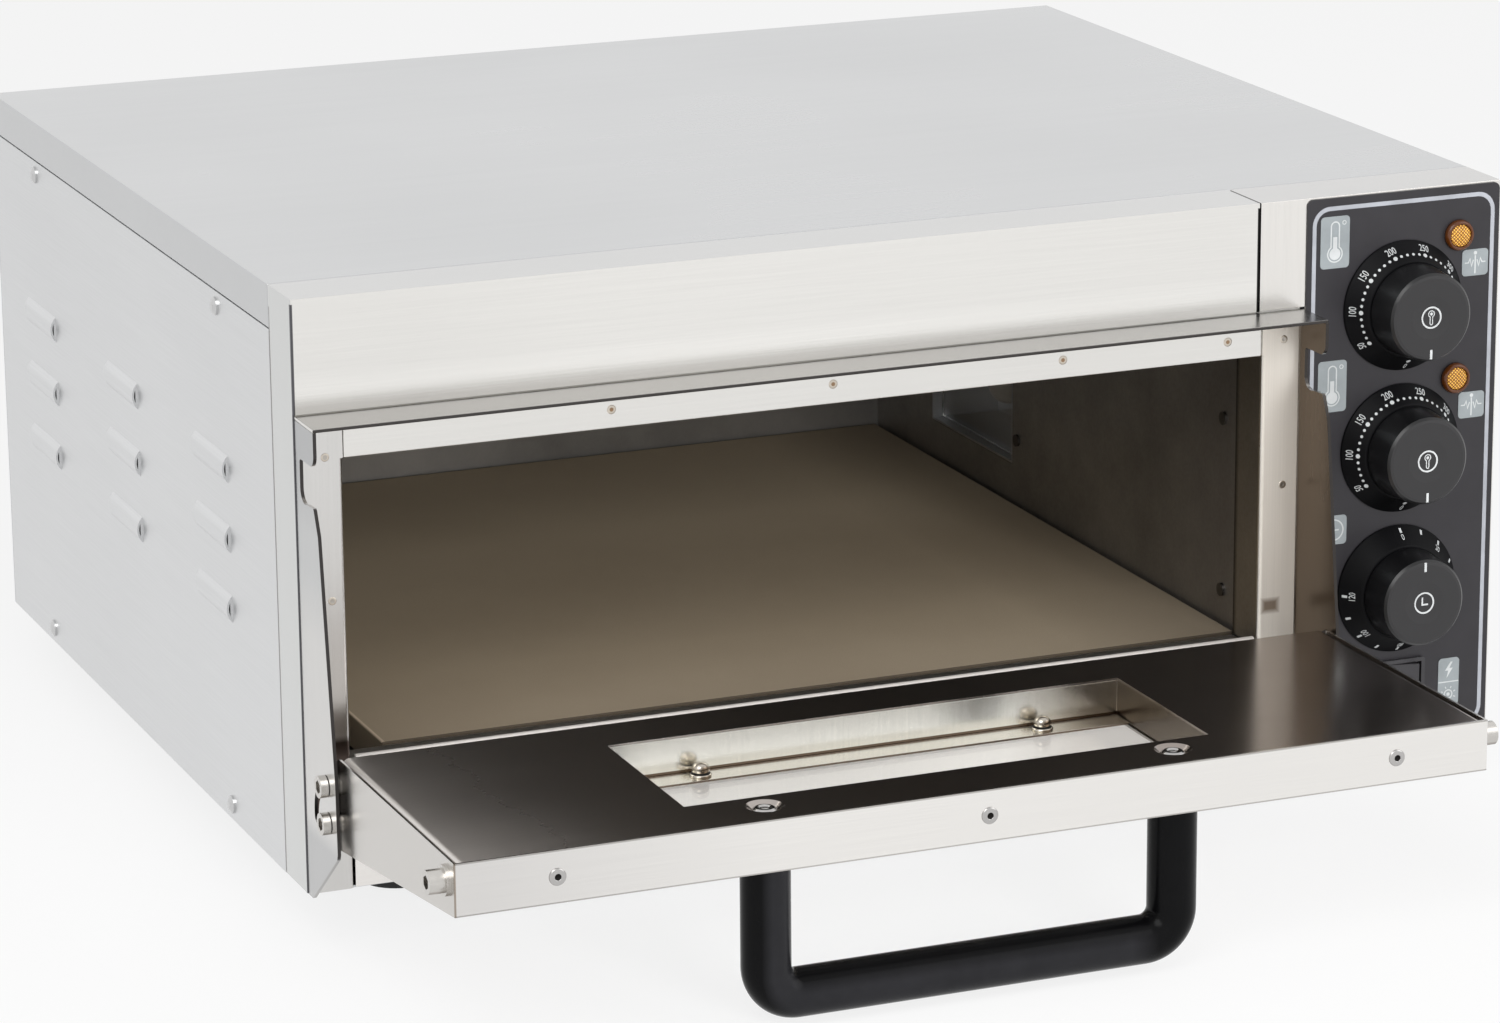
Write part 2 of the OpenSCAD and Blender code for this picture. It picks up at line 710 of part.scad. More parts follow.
// Linings between the mouth's edges and the chamber
module mouth_jambs() color(dark_steel) placed() {
    y0 = max(2 * skin_t, roll_r);
    y1 = chamber_y;
    z0 = sill_z + 0.5;
    z1 = mouth_top_z;
    for (x = [[mouth_x0 - skin_t, chamber_x0 - liner_t], [mouth_x1, chamber_x1 + liner_t]]) {
        block([x[0], y0, z0], [x[0] + skin_t, y1, z1 + skin_t]);
        block([min(x[0], x[1]), y1 - skin_t, z0], [max(x[0] + skin_t, x[1]), y1, z1 + skin_t]);
    }
    block([mouth_x0 - skin_t, y0, z1], [mouth_x1 + skin_t, y1, z1 + skin_t]);
    block([mouth_x0 - skin_t, y1 - skin_t, z1], [mouth_x1 + skin_t, y1, chamber_top_z]);
}

// ---------- Chamber ----------

module wall_passages(x0, x1) {
    for (z = [upper_heater_z, heater_low_z], i = [0, heater_runs - 1])
        rod_x(heater_r + hole_clear, x0 - e1, x1 + e1, heater_run_y(i), z);
    for (z = [upper_bulb_z, lower_bulb_z]) rod_x(tube_r + hole_clear, x0 - e1, x1 + e1, tube_y, z);
    block([x0 - e1, lamp_y - lamp_wall - 0.3, lamp_z - lamp_wall - 0.3],
          [x1 + e1, lamp_y + lamp_l + lamp_wall + 0.3, lamp_z + lamp_h + lamp_wall + 0.3]);
}

module chamber_left_wall() color(dark_steel) placed()
    block([chamber_x0 - liner_t, chamber_y, chamber_floor_z],
          [chamber_x0, chamber_b, chamber_top_z]);

module chamber_right_wall() color(dark_steel) placed() difference() {
    block([chamber_x1, chamber_y, chamber_floor_z], [chamber_x1 + liner_t, chamber_b, chamber_top_z]);
    wall_passages(chamber_x1, chamber_x1 + liner_t);
    at_wall_rivets() rod_x(1.6, chamber_x1 - e1, chamber_x1 + liner_t + e1, 0, 0);
}

module chamber_back_wall() color(dark_steel) placed()
    block([chamber_x0 - liner_t, chamber_b, chamber_floor_z],
          [chamber_x1 + liner_t, chamber_b + liner_t, chamber_top_z]);

module chamber_ceiling() color(dark_steel) placed()
    block([chamber_x0 - liner_t, chamber_y, chamber_top_z],
          [chamber_x1 + liner_t, chamber_b + liner_t, chamber_top_z + liner_t]);

module chamber_floor() color(dark_steel) placed()
    block([chamber_x0 - liner_t, chamber_y, chamber_floor_z - liner_t],
          [chamber_x1 + liner_t, chamber_b + liner_t, chamber_floor_z]);

module at_wall_rivets() {
    for (p = [[chamber_y + 18, 148], [chamber_y + 18, 68.5], [lamp_y - 7, 85], [lamp_y - 7, 148]])
        translate([0, p[0], p[1]]) children();
}

rivet_r = 3;
rivet_h = 1.2;

module chamber_rivets() color(bright) placed() at_wall_rivets() {
    rod_x(rivet_r, chamber_x1 - rivet_h, chamber_x1, 0, 0);
    rod_x(1.6, chamber_x1 - eps, chamber_x1 + liner_t + 1, 0, 0);
}

module pizza_stone() color(stone_colour) placed()
    block([stone_x0, stone_y, stone_low_z], [stone_x1, stone_b, stone_z]);

module stone_rails() color(dark_steel) placed() {
    w = 10;
    clear = heater_r + 3;
    spans = [
        [stone_y + 6, heater_run_y(0) - clear],
        [tube_y + 20, tube_y + 70],
        [heater_run_y(heater_runs - 1) + clear, chamber_b - 6]
    ];
    for (x = [stone_x0 + 2, chamber_x1 - 4 - w], y = spans) {
        block([x, y[0], chamber_floor_z], [x + liner_t, y[1], stone_low_z]);
        block([x, y[0], stone_low_z - liner_t], [x + w, y[1], stone_low_z]);
    }
}

function heater_run_y(i) = chamber_y + heater_margin + i * heater_pitch;

// Serpentine element: runs along X, half bends between them, both ends through the right wall
module heater(z) {
    left = stone_x0 + 20 + heater_bend;
    right = chamber_x1 - 32 - heater_bend;
    for (i = [0:heater_runs - 1]) {
        first_or_last = i == 0 || i == heater_runs - 1;
        rod_x(heater_r, left, first_or_last ? heater_end : right, heater_run_y(i), z);
    }
    for (i = [0:heater_runs - 2]) {
        even = i % 2 == 0;
        translate([even ? left : right, heater_run_y(i) + heater_bend, z])
            bend(heater_r, heater_bend, even ? 90 : -90, even ? 270 : 90);
    }
}

module upper_heater() color(dark_steel) placed() heater(upper_heater_z);

module lower_heater() color(dark_steel) placed() heater(heater_low_z);

// Strips that carry the elements: from the ceiling above, from the floor below
module heater_hangers() color(dark_steel) placed() {
    w = 8;
    reach = 12;
    y = heater_run_y(0) - reach;
    y1 = heater_run_y(heater_runs - 1) + reach;
    for (x = [stone_x0 + 128, chamber_x1 - 150]) {
        difference() {
            block([x, y, upper_heater_z - heater_r - 1], [x + liner_t, y1, chamber_top_z]);
            for (i = [0:heater_runs - 1])
                rod_x(heater_r + 0.3, x - e1, x + w, heater_run_y(i), upper_heater_z);
        }
        difference() {
            block([x, y, chamber_floor_z], [x + liner_t, y1, heater_low_z + heater_r + 1]);
            for (i = [0:heater_runs - 1])
                rod_x(heater_r + 0.3, x - e1, x + w, heater_run_y(i), heater_low_z);
        }
    }
}

// Mineral wool round the chamber: over, under, behind and at both sides of it
module insulation() color(wool) placed() {
    g = fill_gap;
    x0 = 2 * skin_t + screw_end + g;
    x1 = partition_x - g;
    y0 = chamber_y + g;
    y1 = body_b - skin_t - screw_end - g;
    cx0 = chamber_x0 - liner_t - g;
    cx1 = chamber_x1 + liner_t + g;
    top = chamber_top_z + liner_t + g;
    low = chamber_floor_z - liner_t - g;
    difference() {
        block([x0, return_d + g, top], [x1, y1, body_h - 2 * skin_t - g]);
        block([0, 0, rail_drop - g], [rail_w + g, body_d, body_h]);
    }
    difference() {
        block([x0, y0, skin_t + g], [x1, y1, low]);
        at_feet() rod_z(foot_neck + g, 0, skin_t + foot_boss + g, 0, 0);
    }
    block([x0, y0, low + g], [cx0, y1, top - g]);
    difference() {
        block([cx1, y0, low + g], [x1, y1, top - g]);
        wall_passages(cx1, x1);
        at_wall_rivets() rod_x(3, cx1 - e1, cx1 + 2, 0, 0);
    }
    block([cx0 + g, chamber_b + liner_t + g, low + g], [cx1 - g, y1, top - g]);
}

module partition_wall() color(steel) placed() difference() {
    block([partition_x, 2 * skin_t, skin_t], [partition_x + skin_t, body_b - skin_t, body_h - 2 * skin_t]);
    wall_passages(partition_x, partition_x + skin_t);
}

// ---------- Oven lamp ----------

lamp_glass_t = 3;

module lamp_housing() color(steel) placed() difference() {
    block([chamber_x1, lamp_y - lamp_wall, lamp_z - lamp_wall],
          [lamp_x1, lamp_y + lamp_l + lamp_wall, lamp_z + lamp_h + lamp_wall]);
    block([chamber_x1 - e1, lamp_y, lamp_z], [lamp_x1 - lamp_wall, lamp_y + lamp_l, lamp_z + lamp_h]);
    rod_x(9, lamp_x1 - lamp_wall - e1, lamp_x1 + e1, lamp_y + lamp_l / 2, lamp_z + lamp_h / 2);
}

module lamp_glass() color([0.8, 0.82, 0.8, 0.4]) placed()
    block([chamber_x1 + 5, lamp_y + 0.2, lamp_z + 0.2],
          [chamber_x1 + 5 + lamp_glass_t, lamp_y + lamp_l - 0.2, lamp_z + lamp_h - 0.2]);

module lamp_bulb() color([0.95, 0.92, 0.82]) placed() {
    y = lamp_y + lamp_l / 2;
    z = lamp_z + lamp_h / 2;
    translate([lamp_x1, y, z]) rotate([0, 90, 0]) rotate_extrude() polygon(concat(
        [[0, -27]], arc([0, -17], 10, -90, 42, 10), [[6.5, -8], [6.5, -lamp_wall]],
        [[8.9, -lamp_wall], [8.9, 12], [0, 12]]
    ));
}

// ---------- Behind the control panel ----------

// Box with a threaded neck that the spindle turns in
module control_box(z, side, depth) {
    difference() {
        union() {
            block([control_x - side / 2, skin_t + 1, z - side / 2],
                  [control_x + side / 2, skin_t + 1 + depth, z + side / 2]);
            rod_y(spindle_hole + 2.4, panel_y - 3, skin_t + 1 + eps, control_x, z);
            rod_y(side / 2 - 4, skin_t, skin_t + 1 + eps, control_x, z);
        }
        rod_y(spindle_r + running_fit, panel_y - 4, skin_t + 1 + depth / 2, control_x, z);
    }
}

// A sensing bulb and the thin tube that joins it to the thermostat's box. The tube turns up or
// down where the box is far above or below the bulb, and otherwise runs straight into it.
module sensor(bulb_z, end_z) {
    x0 = bulb_x + tube_bend;
    rise = abs(end_z - bulb_z);
    box_back = skin_t + 1 + body_depth;
    rod_y(bulb_r, bulb_y, bulb_y + bulb_l, bulb_x, bulb_z);
    translate([x0, bulb_y + bulb_l, bulb_z]) bend(tube_r, tube_bend, 90, 180);
    rod_x(tube_r, x0, tube_x - tube_bend, tube_y, bulb_z);
    if (rise <= 2 * tube_bend) {
        translate([tube_x - tube_bend, tube_y - tube_bend, bulb_z]) bend(tube_r, tube_bend, 0, 90);
        rod_y(tube_r, box_back - eps, tube_y - tube_bend, tube_x, bulb_z);
    } else if (end_z > bulb_z) {
        translate([0, 0, bulb_z]) riser(rise, box_back);
    } else {
        translate([0, 0, bulb_z]) mirror([0, 0, 1]) riser(rise, box_back);
    }
}

module riser(rise, box_back) {
    translate([tube_x - tube_bend, tube_y, tube_bend]) rotate([90, 0, 0])
        bend(tube_r, tube_bend, -90, 0);
    rod_z(tube_r, tube_bend, rise - tube_bend, tube_x, tube_y);
    translate([tube_x, tube_y - tube_bend, rise - tube_bend]) rotate([90, 0, 90])
        bend(tube_r, tube_bend, 0, 90);
    rod_y(tube_r, box_back - eps, tube_y - tube_bend, tube_x, rise);
}

module upper_thermostat() color(zinc) placed() {
    control_box(dial_z[0], body_side, body_depth);
    sensor(upper_bulb_z, dial_z[0]);
}

module lower_thermostat() color(zinc) placed() {
    control_box(dial_z[1], body_side, body_depth);
    sensor(lower_bulb_z, dial_z[1]);
}

module timer() color(zinc) placed() {
    control_box(dial_z[2], body_side + 6, body_depth + 8);
    translate([control_x, skin_t + body_depth + 9, dial_z[2]]) rotate([-90, 0, 0])
        cylinder(r1 = 17, r2 = 12, h = 8);
}

module terminal_block() color([0.9, 0.88, 0.82]) placed() difference() {
    x0 = partition_x + skin_t;
    block([x0, body_b - 90, 40], [x0 + 22, body_b - 40, 62]);
    for (i = [0:4]) rod_z(2, 54, 62 + e1, x0 + 14, body_b - 85 + i * 10);
}

// ---------- Controls ----------

module at_pilots() {
    for (i = [0, 1]) translate([control_x + pilot_x, 0, dial_z[i] + pilot_dz]) children();
}

// Sloping ring that carries a dial's scale
module dial_skirts() color(black) placed()
    for (z = dial_z) translate([control_x, panel_y, z]) rotate([90, 0, 0]) difference() {
        rotate_extrude() polygon([
            [0, 0], [skirt_r, 0], [skirt_r, 1.2], [skirt_inner_r, skirt_h - 0.4],
            [skirt_inner_r - 0.6, skirt_h], [0, skirt_h]
        ]);
        translate([0, 0, -e1]) cylinder(r = spindle_hole + 2.6, h = skirt_h - 2 + e1);
        translate([0, 0, -e1]) cylinder(r = spindle_hole, h = skirt_h + 2 * e1);
    }

// Knob with a dished face; pointer is the angle of the mark cut in its rim
module knob(pointer) {
    h = knob_base - knob_front;
    rotate([90, 0, 0]) difference() {
        rotate_extrude() polygon([
            [0, 0], [knob_r + knob_taper, 0], [knob_r + 0.2, h - 1.4], [knob_r - 0.8, h - 0.3],
            [knob_r - 2, h], [0, h]
        ]);
        translate([0, 0, h - dish_d + dish_r]) sphere(r = dish_r);
        rotate([0, 0, pointer]) translate([knob_r - 5.4, -0.6, h - 0.4]) cube([7, 1.2, 1]);
    }
}

module knob_with_spindle(z, pointer, depth) {
    translate([control_x, knob_base, z]) knob(pointer);
    rod_y(spindle_r, knob_base - eps, skin_t + 1 + depth / 2 - 2, control_x, z);
}

module upper_thermostat_knob() color(black) placed() knob_with_spindle(dial_z[0], -90, body_depth);

module lower_thermostat_knob() color(black) placed() knob_with_spindle(dial_z[1], -90, body_depth);

module timer_knob() color(black) placed() knob_with_spindle(dial_z[2], 90, body_depth + 8);

module pilot_lamp_rims() color([0.2, 0.1, 0.05]) placed() at_pilots() difference() {
    rod_y(pilot_rim_r, panel_y - 3, panel_y, 0, 0);
    rod_y(pilot_lens_r, panel_y - 3 - e1, panel_y + e1, 0, 0);
}

module pilot_lamp_lenses() color(amber) placed() at_pilots() {
    rod_y(pilot_lens_r - 0.1, panel_y - 2.6, pilot_body, 0, 0);
    translate([0, panel_y - 2.6, 0]) intersection() {
        rod_y(pilot_lens_r - 0.4, -2, 0, 0, 0);
        translate([0, 6.4, 0]) sphere(r = 8.4);
    }
    difference() {
        rod_y(pilot_rim_r, skin_t, skin_t + 3, 0, 0);
        rod_y(pilot_lens_r - 0.2, skin_t - e1, skin_t + 3 + e1, 0, 0);
    }
}

module switch_body() color(black) placed() {
    x0 = control_x - switch_w / 2;
    x1 = control_x + switch_w / 2;
    z0 = switch_z - switch_h / 2;
    z1 = switch_z + switch_h / 2;
    s = switch_rim;
    hole_w = rocker_w / 2 + rocker_gap;
    hole_h = rocker_h / 2 + rocker_gap;
    difference() {
        union() {
            across(panel_y - 2, panel_y) rounded(x0, z0, x1, z1, 1.5);
            block([x0 + s + 0.1, panel_y - eps, z0 + s + 0.1], [x1 - s - 0.1, switch_depth, z1 - s - 0.1]);
        }
        for (k = [-1, 1]) translate([control_x, 0, switch_z + k * rocker_dz])
            block([-hole_w, panel_y - 3, -hole_h], [hole_w, switch_depth - 4, hole_h]);
        block([x0 - 1, skin_t + 4, z0 - 1], [x0 + s + 0.6, switch_depth + 1, z1 + 1]);
        block([x1 - s - 0.6, skin_t + 4, z0 - 1], [x1 + 1, switch_depth + 1, z1 + 1]);
    }
    rod_z(rocker_pin_r, z0 + s + 0.2, z1 - s - 0.2, control_x, rocker_pin_y);
}

// Rocker seen from above: two flat faces that meet over the pin, one of them flush at rest
module rocker(z) {
    h = rocker_h;
    w = rocker_w / 2;
    translate([control_x, rocker_pin_y, z - h / 2]) rotate([0, 0, -rocker_tilt / 2])
        linear_extrude(h) difference() {
            polygon([
                [-w * 0.93, -6.6], [0, -5.2], [w * 0.93, -6.6],
                [w * 0.86, -0.5], [3.4, 3.4], [-3.4, 3.4], [-w * 0.86, -0.5]
            ]);
            circle(r = rocker_pin_r + running_fit);
        }
}

module power_rocker() color(black) placed() rocker(switch_z + rocker_dz);

module lamp_rocker() color(black) placed() rocker(switch_z - rocker_dz);

// ---------- Door ----------

// Side view of the door's side plates, in depth and height
module door_side_profile() {
    difference() {
        union() {
            translate([hinge_y, hinge_z]) circle(r = ear_r);
            polygon([
                [door_front, door_low_z], [-door_rear, ear_low_z], [hinge_y, ear_low_z],
                [hinge_y, hinge_z], [ear_back, hinge_z], [ear_back, ear_top_z - 3],
                [ear_back - 2, ear_top_z], [-door_rear, door_top_z], [door_front, door_top_z]
            ]);
        }
        for (p = [[guide_y, guide_z], [hinge_y, hinge_z]]) translate(p) circle(r = stud_r);
        translate([latch_y, latch_z]) circle(r = 3);
    }
}

// Outer tray of the door: skin, front edge and side plates
module door_skin() color(steel) placed() difference() {
    union() {
        block([door_x0, door_front, door_low_z], [door_x1, -door_rear - 1, door_low_z + door_t]);
        block([door_x0, door_front, door_low_z], [door_x1, door_front + door_t, door_top_z]);
        along(door_x0, door_x0 + door_t) door_side_profile();
        along(door_x1 - door_t, door_x1) door_side_profile();
    }
    block([window_x0, window_y0, door_low_z - e1], [window_x1, window_y1, door_low_z + door_t + e1]);
    for (x = [handle_x0, handle_x1])
        rod_z(handle_screw_r + 0.2, door_low_z - e1, door_low_z + door_t + e1, x, handle_y);
    at_door_rivets() rod_y(1.6, door_front - e1, door_front + door_t + e1, 0, 0);
}

module at_door_rivets() {
    for (k = [-1, 0, 1])
        translate([door_mid + k * door_rivet_pitch, 0, door_top_z - door_thick / 2]) children();
}

// Polished inner sheet, folded down in front and behind, its edges at both sides rolled down
module door_inner_panel() color(dark_steel) placed() difference() {
    g = 0.3;
    r = door_roll_r;
    ra = r - door_t;
    x0 = door_x0 + door_t + g + r;
    x1 = door_x1 - door_t - g - r;
    y0 = door_front + door_t;
    z = door_top_z - r;
    union() {
        across(y0, -door_rear) polygon(concat(
            [[x0 - r, z]], arc([x0, z], r, 180, 90, 10), [[x1, door_top_z]], arc([x1, z], r, 90, 0, 10),
            [[x1 + ra, z]], arc([x1, z], ra, 0, 90, 8), [[x0, z + ra]], arc([x0, z], ra, 90, 180, 8)
        ));
        block([x0, y0, door_low_z + door_t], [x1, y0 + door_t, door_top_z]);
        block([x0, -door_rear - door_t, door_low_z], [x1, -door_rear, door_top_z]);
        for (x = [handle_x0, handle_x1])
            rod_z(dimple_r + 1, door_top_z - door_t - dimple_d, door_top_z, x, handle_y);
    }
    block([window_x0, window_y0, door_top_z - door_t - e1], [window_x1, window_y1, door_top_z + e1]);
    for (x = [handle_x0, handle_x1]) {
        translate([x, handle_y, door_top_z - dimple_d])
            cylinder(r1 = dimple_r - 2.4, r2 = dimple_r, h = dimple_d + eps);
        rod_z(handle_screw_r + 0.2, door_top_z - dimple_d - door_t - e1, door_top_z, x, handle_y);
    }
    at_door_rivets() rod_y(1.6, y0 - e1, y0 + door_t + e1, 0, 0);
}

// Four walls between the inner sheet and the glass
module window_frame() color(bright) placed() difference() {
    z0 = retainer_z + 0.1;
    z1 = door_top_z - door_t;
    block([window_x0 - door_t, window_y0 - door_t, z0], [window_x1 + door_t, window_y1 + door_t, z1]);
    block([window_x0, window_y0, z0 - e1], [window_x1, window_y1, z1 + e1]);
}

module door_glass() color([0.75, 0.85, 0.82, 0.35]) placed()
    block([window_x0 - glass_lap, window_y0 - glass_lap, glass_z],
          [window_x1 + glass_lap, window_y1 + glass_lap, retainer_z]);

module glass_retainers() color(bright) placed() {
    x0 = window_x0 + 0.4;
    x1 = window_x1 - 0.4;
    for (y = [window_y0 + 0.4, window_y1 - 0.4 - retainer_w])
        block([x0, y, retainer_z], [x1, y + retainer_w, retainer_z + retainer_t]);
}

module at_retainer_nuts() {
    for (k = [-1, 1], y = [window_y0 + 0.4 + retainer_w / 2, window_y1 - 0.4 - retainer_w / 2])
        translate([door_mid + window_shift + k * nut_dx, y, retainer_z + retainer_t]) children();
}

module retainer_nuts() color(bright) placed() at_retainer_nuts() {
    cylinder(r = 4.2, h = 3, $fn = 6);
    translate([0, 0, 3]) cylinder(r = 3.5, h = 1.5);
    translate([0, 0, 4.5]) intersection() {
        sphere(r = 3.5);
        cylinder(r = 4, h = 4);
    }
}

// Wool between the door's two sheets, at both sides of the window
module door_filling() color(wool) placed() difference() {
    z0 = door_low_z + door_t + 0.3;
    z1 = door_top_z - door_t - dimple_d - 1.4;
    y0 = door_front + 2 * door_t + 0.4;
    y1 = -door_rear - door_t - 0.4;
    union() {
        block([door_x0 + 8, y0, z0], [window_x0 - glass_lap - 1, y1, z1]);
        block([window_x1 + glass_lap + 1, y0, z0], [door_x1 - 8, y1, z1]);
    }
    for (x = [handle_x0, handle_x1]) rod_z(handle_screw_r + 1, z0 - e1, z1 + e1, x, handle_y);
    at_door_rivets() rod_y(4, door_front, y0 + 2, 0, 0);
    for (x = [door_x0, door_x1]) rod_x(6, x - 12, x + 12, latch_y, latch_z);
}

// Round bar bent to a U, hanging below the open door
module door_handle() color(black) placed() difference() {
    bar0 = handle_x0 + handle_bend;
    bar1 = handle_x1 - handle_bend;
    union() {
        for (x = [handle_x0, handle_x1])
            rod_z(handle_r, bar_z + handle_bend, door_low_z, x, handle_y);
        rod_x(handle_r, bar0, bar1, handle_y, bar_z);
        translate([bar0, handle_y, bar_z + handle_bend]) rotate([90, 0, 0])
            bend(handle_r, handle_bend, 180, 270);
        translate([bar1, handle_y, bar_z + handle_bend]) rotate([90, 0, 0])
            bend(handle_r, handle_bend, 270, 360);
    }
    for (x = [handle_x0, handle_x1])
        rod_z(handle_screw_r, door_low_z - handle_screw_in, door_low_z + e1, x, handle_y);
}

module handle_screws() color(bright) placed() for (x = [handle_x0, handle_x1]) difference() {
    z = door_top_z - dimple_d;
    union() {
        rod_z(handle_screw_r, door_low_z - handle_screw_in, z + eps, x, handle_y);
        rod_z(dimple_r - 3, z, z + 1.6, x, handle_y);
    }
    translate([x, handle_y, z + 0.4]) for (a = [0, 90]) rotate([0, 0, a])
        translate([-3, -0.5, 0]) cube([6, 1, 2]);
}

module door_rivets() color(bright) placed() at_door_rivets() difference() {
    union() {
        rod_y(door_rivet_r, door_front - 0.9, door_front, 0, 0);
        rod_y(1.6, door_front - eps, door_front + 2 * door_t + 1.5, 0, 0);
    }
    rod_y(1.3, door_front - 2, door_front - 0.3, 0, 0);
}

// Shoulder studs that run in the brackets' slots
module hinge_stud(y, z) {
    x0 = bracket_x - 0.3;
    difference() {
        rod_x(stud_head_r, x0 - stud_head_h, x0, y, z);
        translate([x0 - stud_head_h - eps, y, z]) rotate([0, 90, 0])
            cylinder(r = 2.9, h = stud_head_h - 0.9, $fn = 6);
    }
    rod_x(stud_r, x0 - eps, door_x0 + door_t + 4.5, y, z);
    difference() {
        rod_x(stud_r + 2, door_x0 - door_side_gap + 0.35, door_x0, y, z);
        rod_x(stud_r - 0.1, door_x0 - 4, door_x0 + 1, y, z);
    }
    rod_x(stud_r + 2, door_x0 + door_t, door_x0 + door_t + 3.5, y, z);
}

module hinge_studs() color(bright) placed() both_sides() {
    hinge_stud(guide_y, guide_z);
    hinge_stud(hinge_y, hinge_z);
}

module latch_studs() color(bright) placed() both_sides() difference() {
    x1 = door_x0 - washer_t;
    union() {
        rod_x(latch_r, x1 - latch_h, x1, latch_y, latch_z);
        rod_x(latch_r + 1.4, x1, door_x0, latch_y, latch_z);
        rod_x(3, door_x0 - eps, door_x0 + door_t + 5, latch_y, latch_z);
        rod_x(5.4, door_x0 + door_t, door_x0 + door_t + 3.6, latch_y, latch_z);
    }
    translate([x1 - latch_h - eps, latch_y, latch_z]) rotate([0, 90, 0])
        cylinder(r = 3, h = 3.2, $fn = 6);
}

top_cover();
left_side_panel();
right_side_panel();
back_panel();
base_tray();
top_rails();
front_frame();
control_plate();
control_overlay();
icon_plates();
partition_wall();
left_hinge_bracket();
right_hinge_bracket();
visor();
sill();
mouth_jambs();
chamber_left_wall();
chamber_right_wall();
chamber_back_wall();
chamber_ceiling();
chamber_floor();
pizza_stone();
stone_rails();
upper_heater();
lower_heater();
heater_hangers();
insulation();
lamp_housing();
lamp_glass();
lamp_bulb();
chamber_rivets();
upper_thermostat();
lower_thermostat();
timer();
terminal_block();
dial_skirts();
pilot_lamp_rims();
pilot_lamp_lenses();
switch_body();
rubber_feet();
casing_screws();
cable_gland();
door_skin();
door_inner_panel();
window_frame();
door_glass();
glass_retainers();
retainer_nuts();
door_filling();
door_handle();
handle_screws();
door_rivets();
hinge_studs();
latch_studs();
upper_thermostat_knob();
lower_thermostat_knob();
timer_knob();
power_rocker();
lamp_rocker();
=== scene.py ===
import math
import bpy
import bmesh
from mathutils import Euler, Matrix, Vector


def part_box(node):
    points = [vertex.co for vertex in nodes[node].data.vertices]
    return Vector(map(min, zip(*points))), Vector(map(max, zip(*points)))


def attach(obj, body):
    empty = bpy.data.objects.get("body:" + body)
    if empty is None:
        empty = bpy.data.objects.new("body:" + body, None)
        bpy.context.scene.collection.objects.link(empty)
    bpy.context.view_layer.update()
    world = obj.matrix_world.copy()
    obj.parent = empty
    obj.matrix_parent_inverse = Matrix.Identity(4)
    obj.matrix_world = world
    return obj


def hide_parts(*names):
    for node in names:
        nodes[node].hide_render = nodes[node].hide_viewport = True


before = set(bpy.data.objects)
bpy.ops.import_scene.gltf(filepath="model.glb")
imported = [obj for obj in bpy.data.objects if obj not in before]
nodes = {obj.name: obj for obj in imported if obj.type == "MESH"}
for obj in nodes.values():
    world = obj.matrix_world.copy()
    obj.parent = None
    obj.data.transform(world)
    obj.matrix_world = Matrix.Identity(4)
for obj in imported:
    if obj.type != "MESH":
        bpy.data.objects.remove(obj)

scene = bpy.context.scene
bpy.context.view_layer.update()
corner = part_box("front_frame")[0]  # the casing's front lower left corner
print("frame loaded,", len(nodes), "nodes")


def at(x, y, z):  # millimetres from the casing's corner, as in the drawing
    return corner + Vector((x, y, z)) / 1000


camera = {
    "place": (-648.95, -2088.03, 771.91),
    "turn": (1.29885, 0.0080858, -0.388620),
    "lens": 132.578,
    "sensor": 36,
    "near": 0.05, "far": 60,
}

camData = bpy.data.cameras.new("camera")
camData.sensor_width = camera["sensor"]
camData.sensor_fit = "HORIZONTAL"
camData.lens = camera["lens"]
camData.clip_start, camData.clip_end = camera["near"], camera["far"]
cam = bpy.data.objects.new("camera", camData)
cam.location = at(*camera["place"])
cam.rotation_euler = Euler(camera["turn"], "XYZ")
scene.collection.objects.link(cam)
scene.camera = cam
print("camera set")


# node groups that several materials share

def newGroup(name, inputs, outputs):
    group = bpy.data.node_groups.new(name, "ShaderNodeTree")
    for label, kind, value in inputs:
        socket = group.interface.new_socket(label, in_out="INPUT", socket_type=kind)
        socket.default_value = value
    for label, kind in outputs:
        group.interface.new_socket(label, in_out="OUTPUT", socket_type=kind)
    return group, group.nodes.new("NodeGroupInput"), group.nodes.new("NodeGroupOutput")


def addNode(tree, kind, **settings):
    node = tree.nodes.new(kind)
    for key, value in settings.items():
        setattr(node, key, value)
    return node


def mathNode(tree, operation, first, second=None, clamp=False):
    node = addNode(tree, "ShaderNodeMath", operation=operation, use_clamp=clamp)
    for socket, value in zip(node.inputs, (first, second)):
        if value is None:
            continue
        if isinstance(value, (int, float)):
            socket.default_value = value
        else:
            tree.links.new(value, socket)
    return node.outputs[0]


def vectorNode(tree, operation, first, second=None):
    node = addNode(tree, "ShaderNodeVectorMath", operation=operation)
    tree.links.new(first, node.inputs[0])
    if second:
        tree.links.new(second, node.inputs[1])
    return node


def rangeNode(tree, value, low, high, toLow, toHigh):
    node = addNode(tree, "ShaderNodeMapRange")
    tree.links.new(value, node.inputs[0])
    for i, v in enumerate((low, high, toLow, toHigh)):
        node.inputs[i + 1].default_value = v
    return node.outputs[0]


def noiseNode(tree, vector, scale, detail):
    node = addNode(tree, "ShaderNodeTexNoise")
    node.inputs["Detail"].default_value = detail
    tree.links.new(vector, node.inputs["Vector"])
    tree.links.new(scale, node.inputs["Scale"])
    return node


brushNoise = {"fineDetail": 4, "fineRough": 0.6, "broadDetail": 2, "broadScale": 0.08,
              "low": 0.3, "high": 0.7}
cloudNoise = {"patchDetail": 5, "speckDetail": 3, "speckScale": 60.0, "low": 0.35, "high": 0.65}
facingEdge = (0.5, 0.8)  # cosines where a face starts to count and counts in full


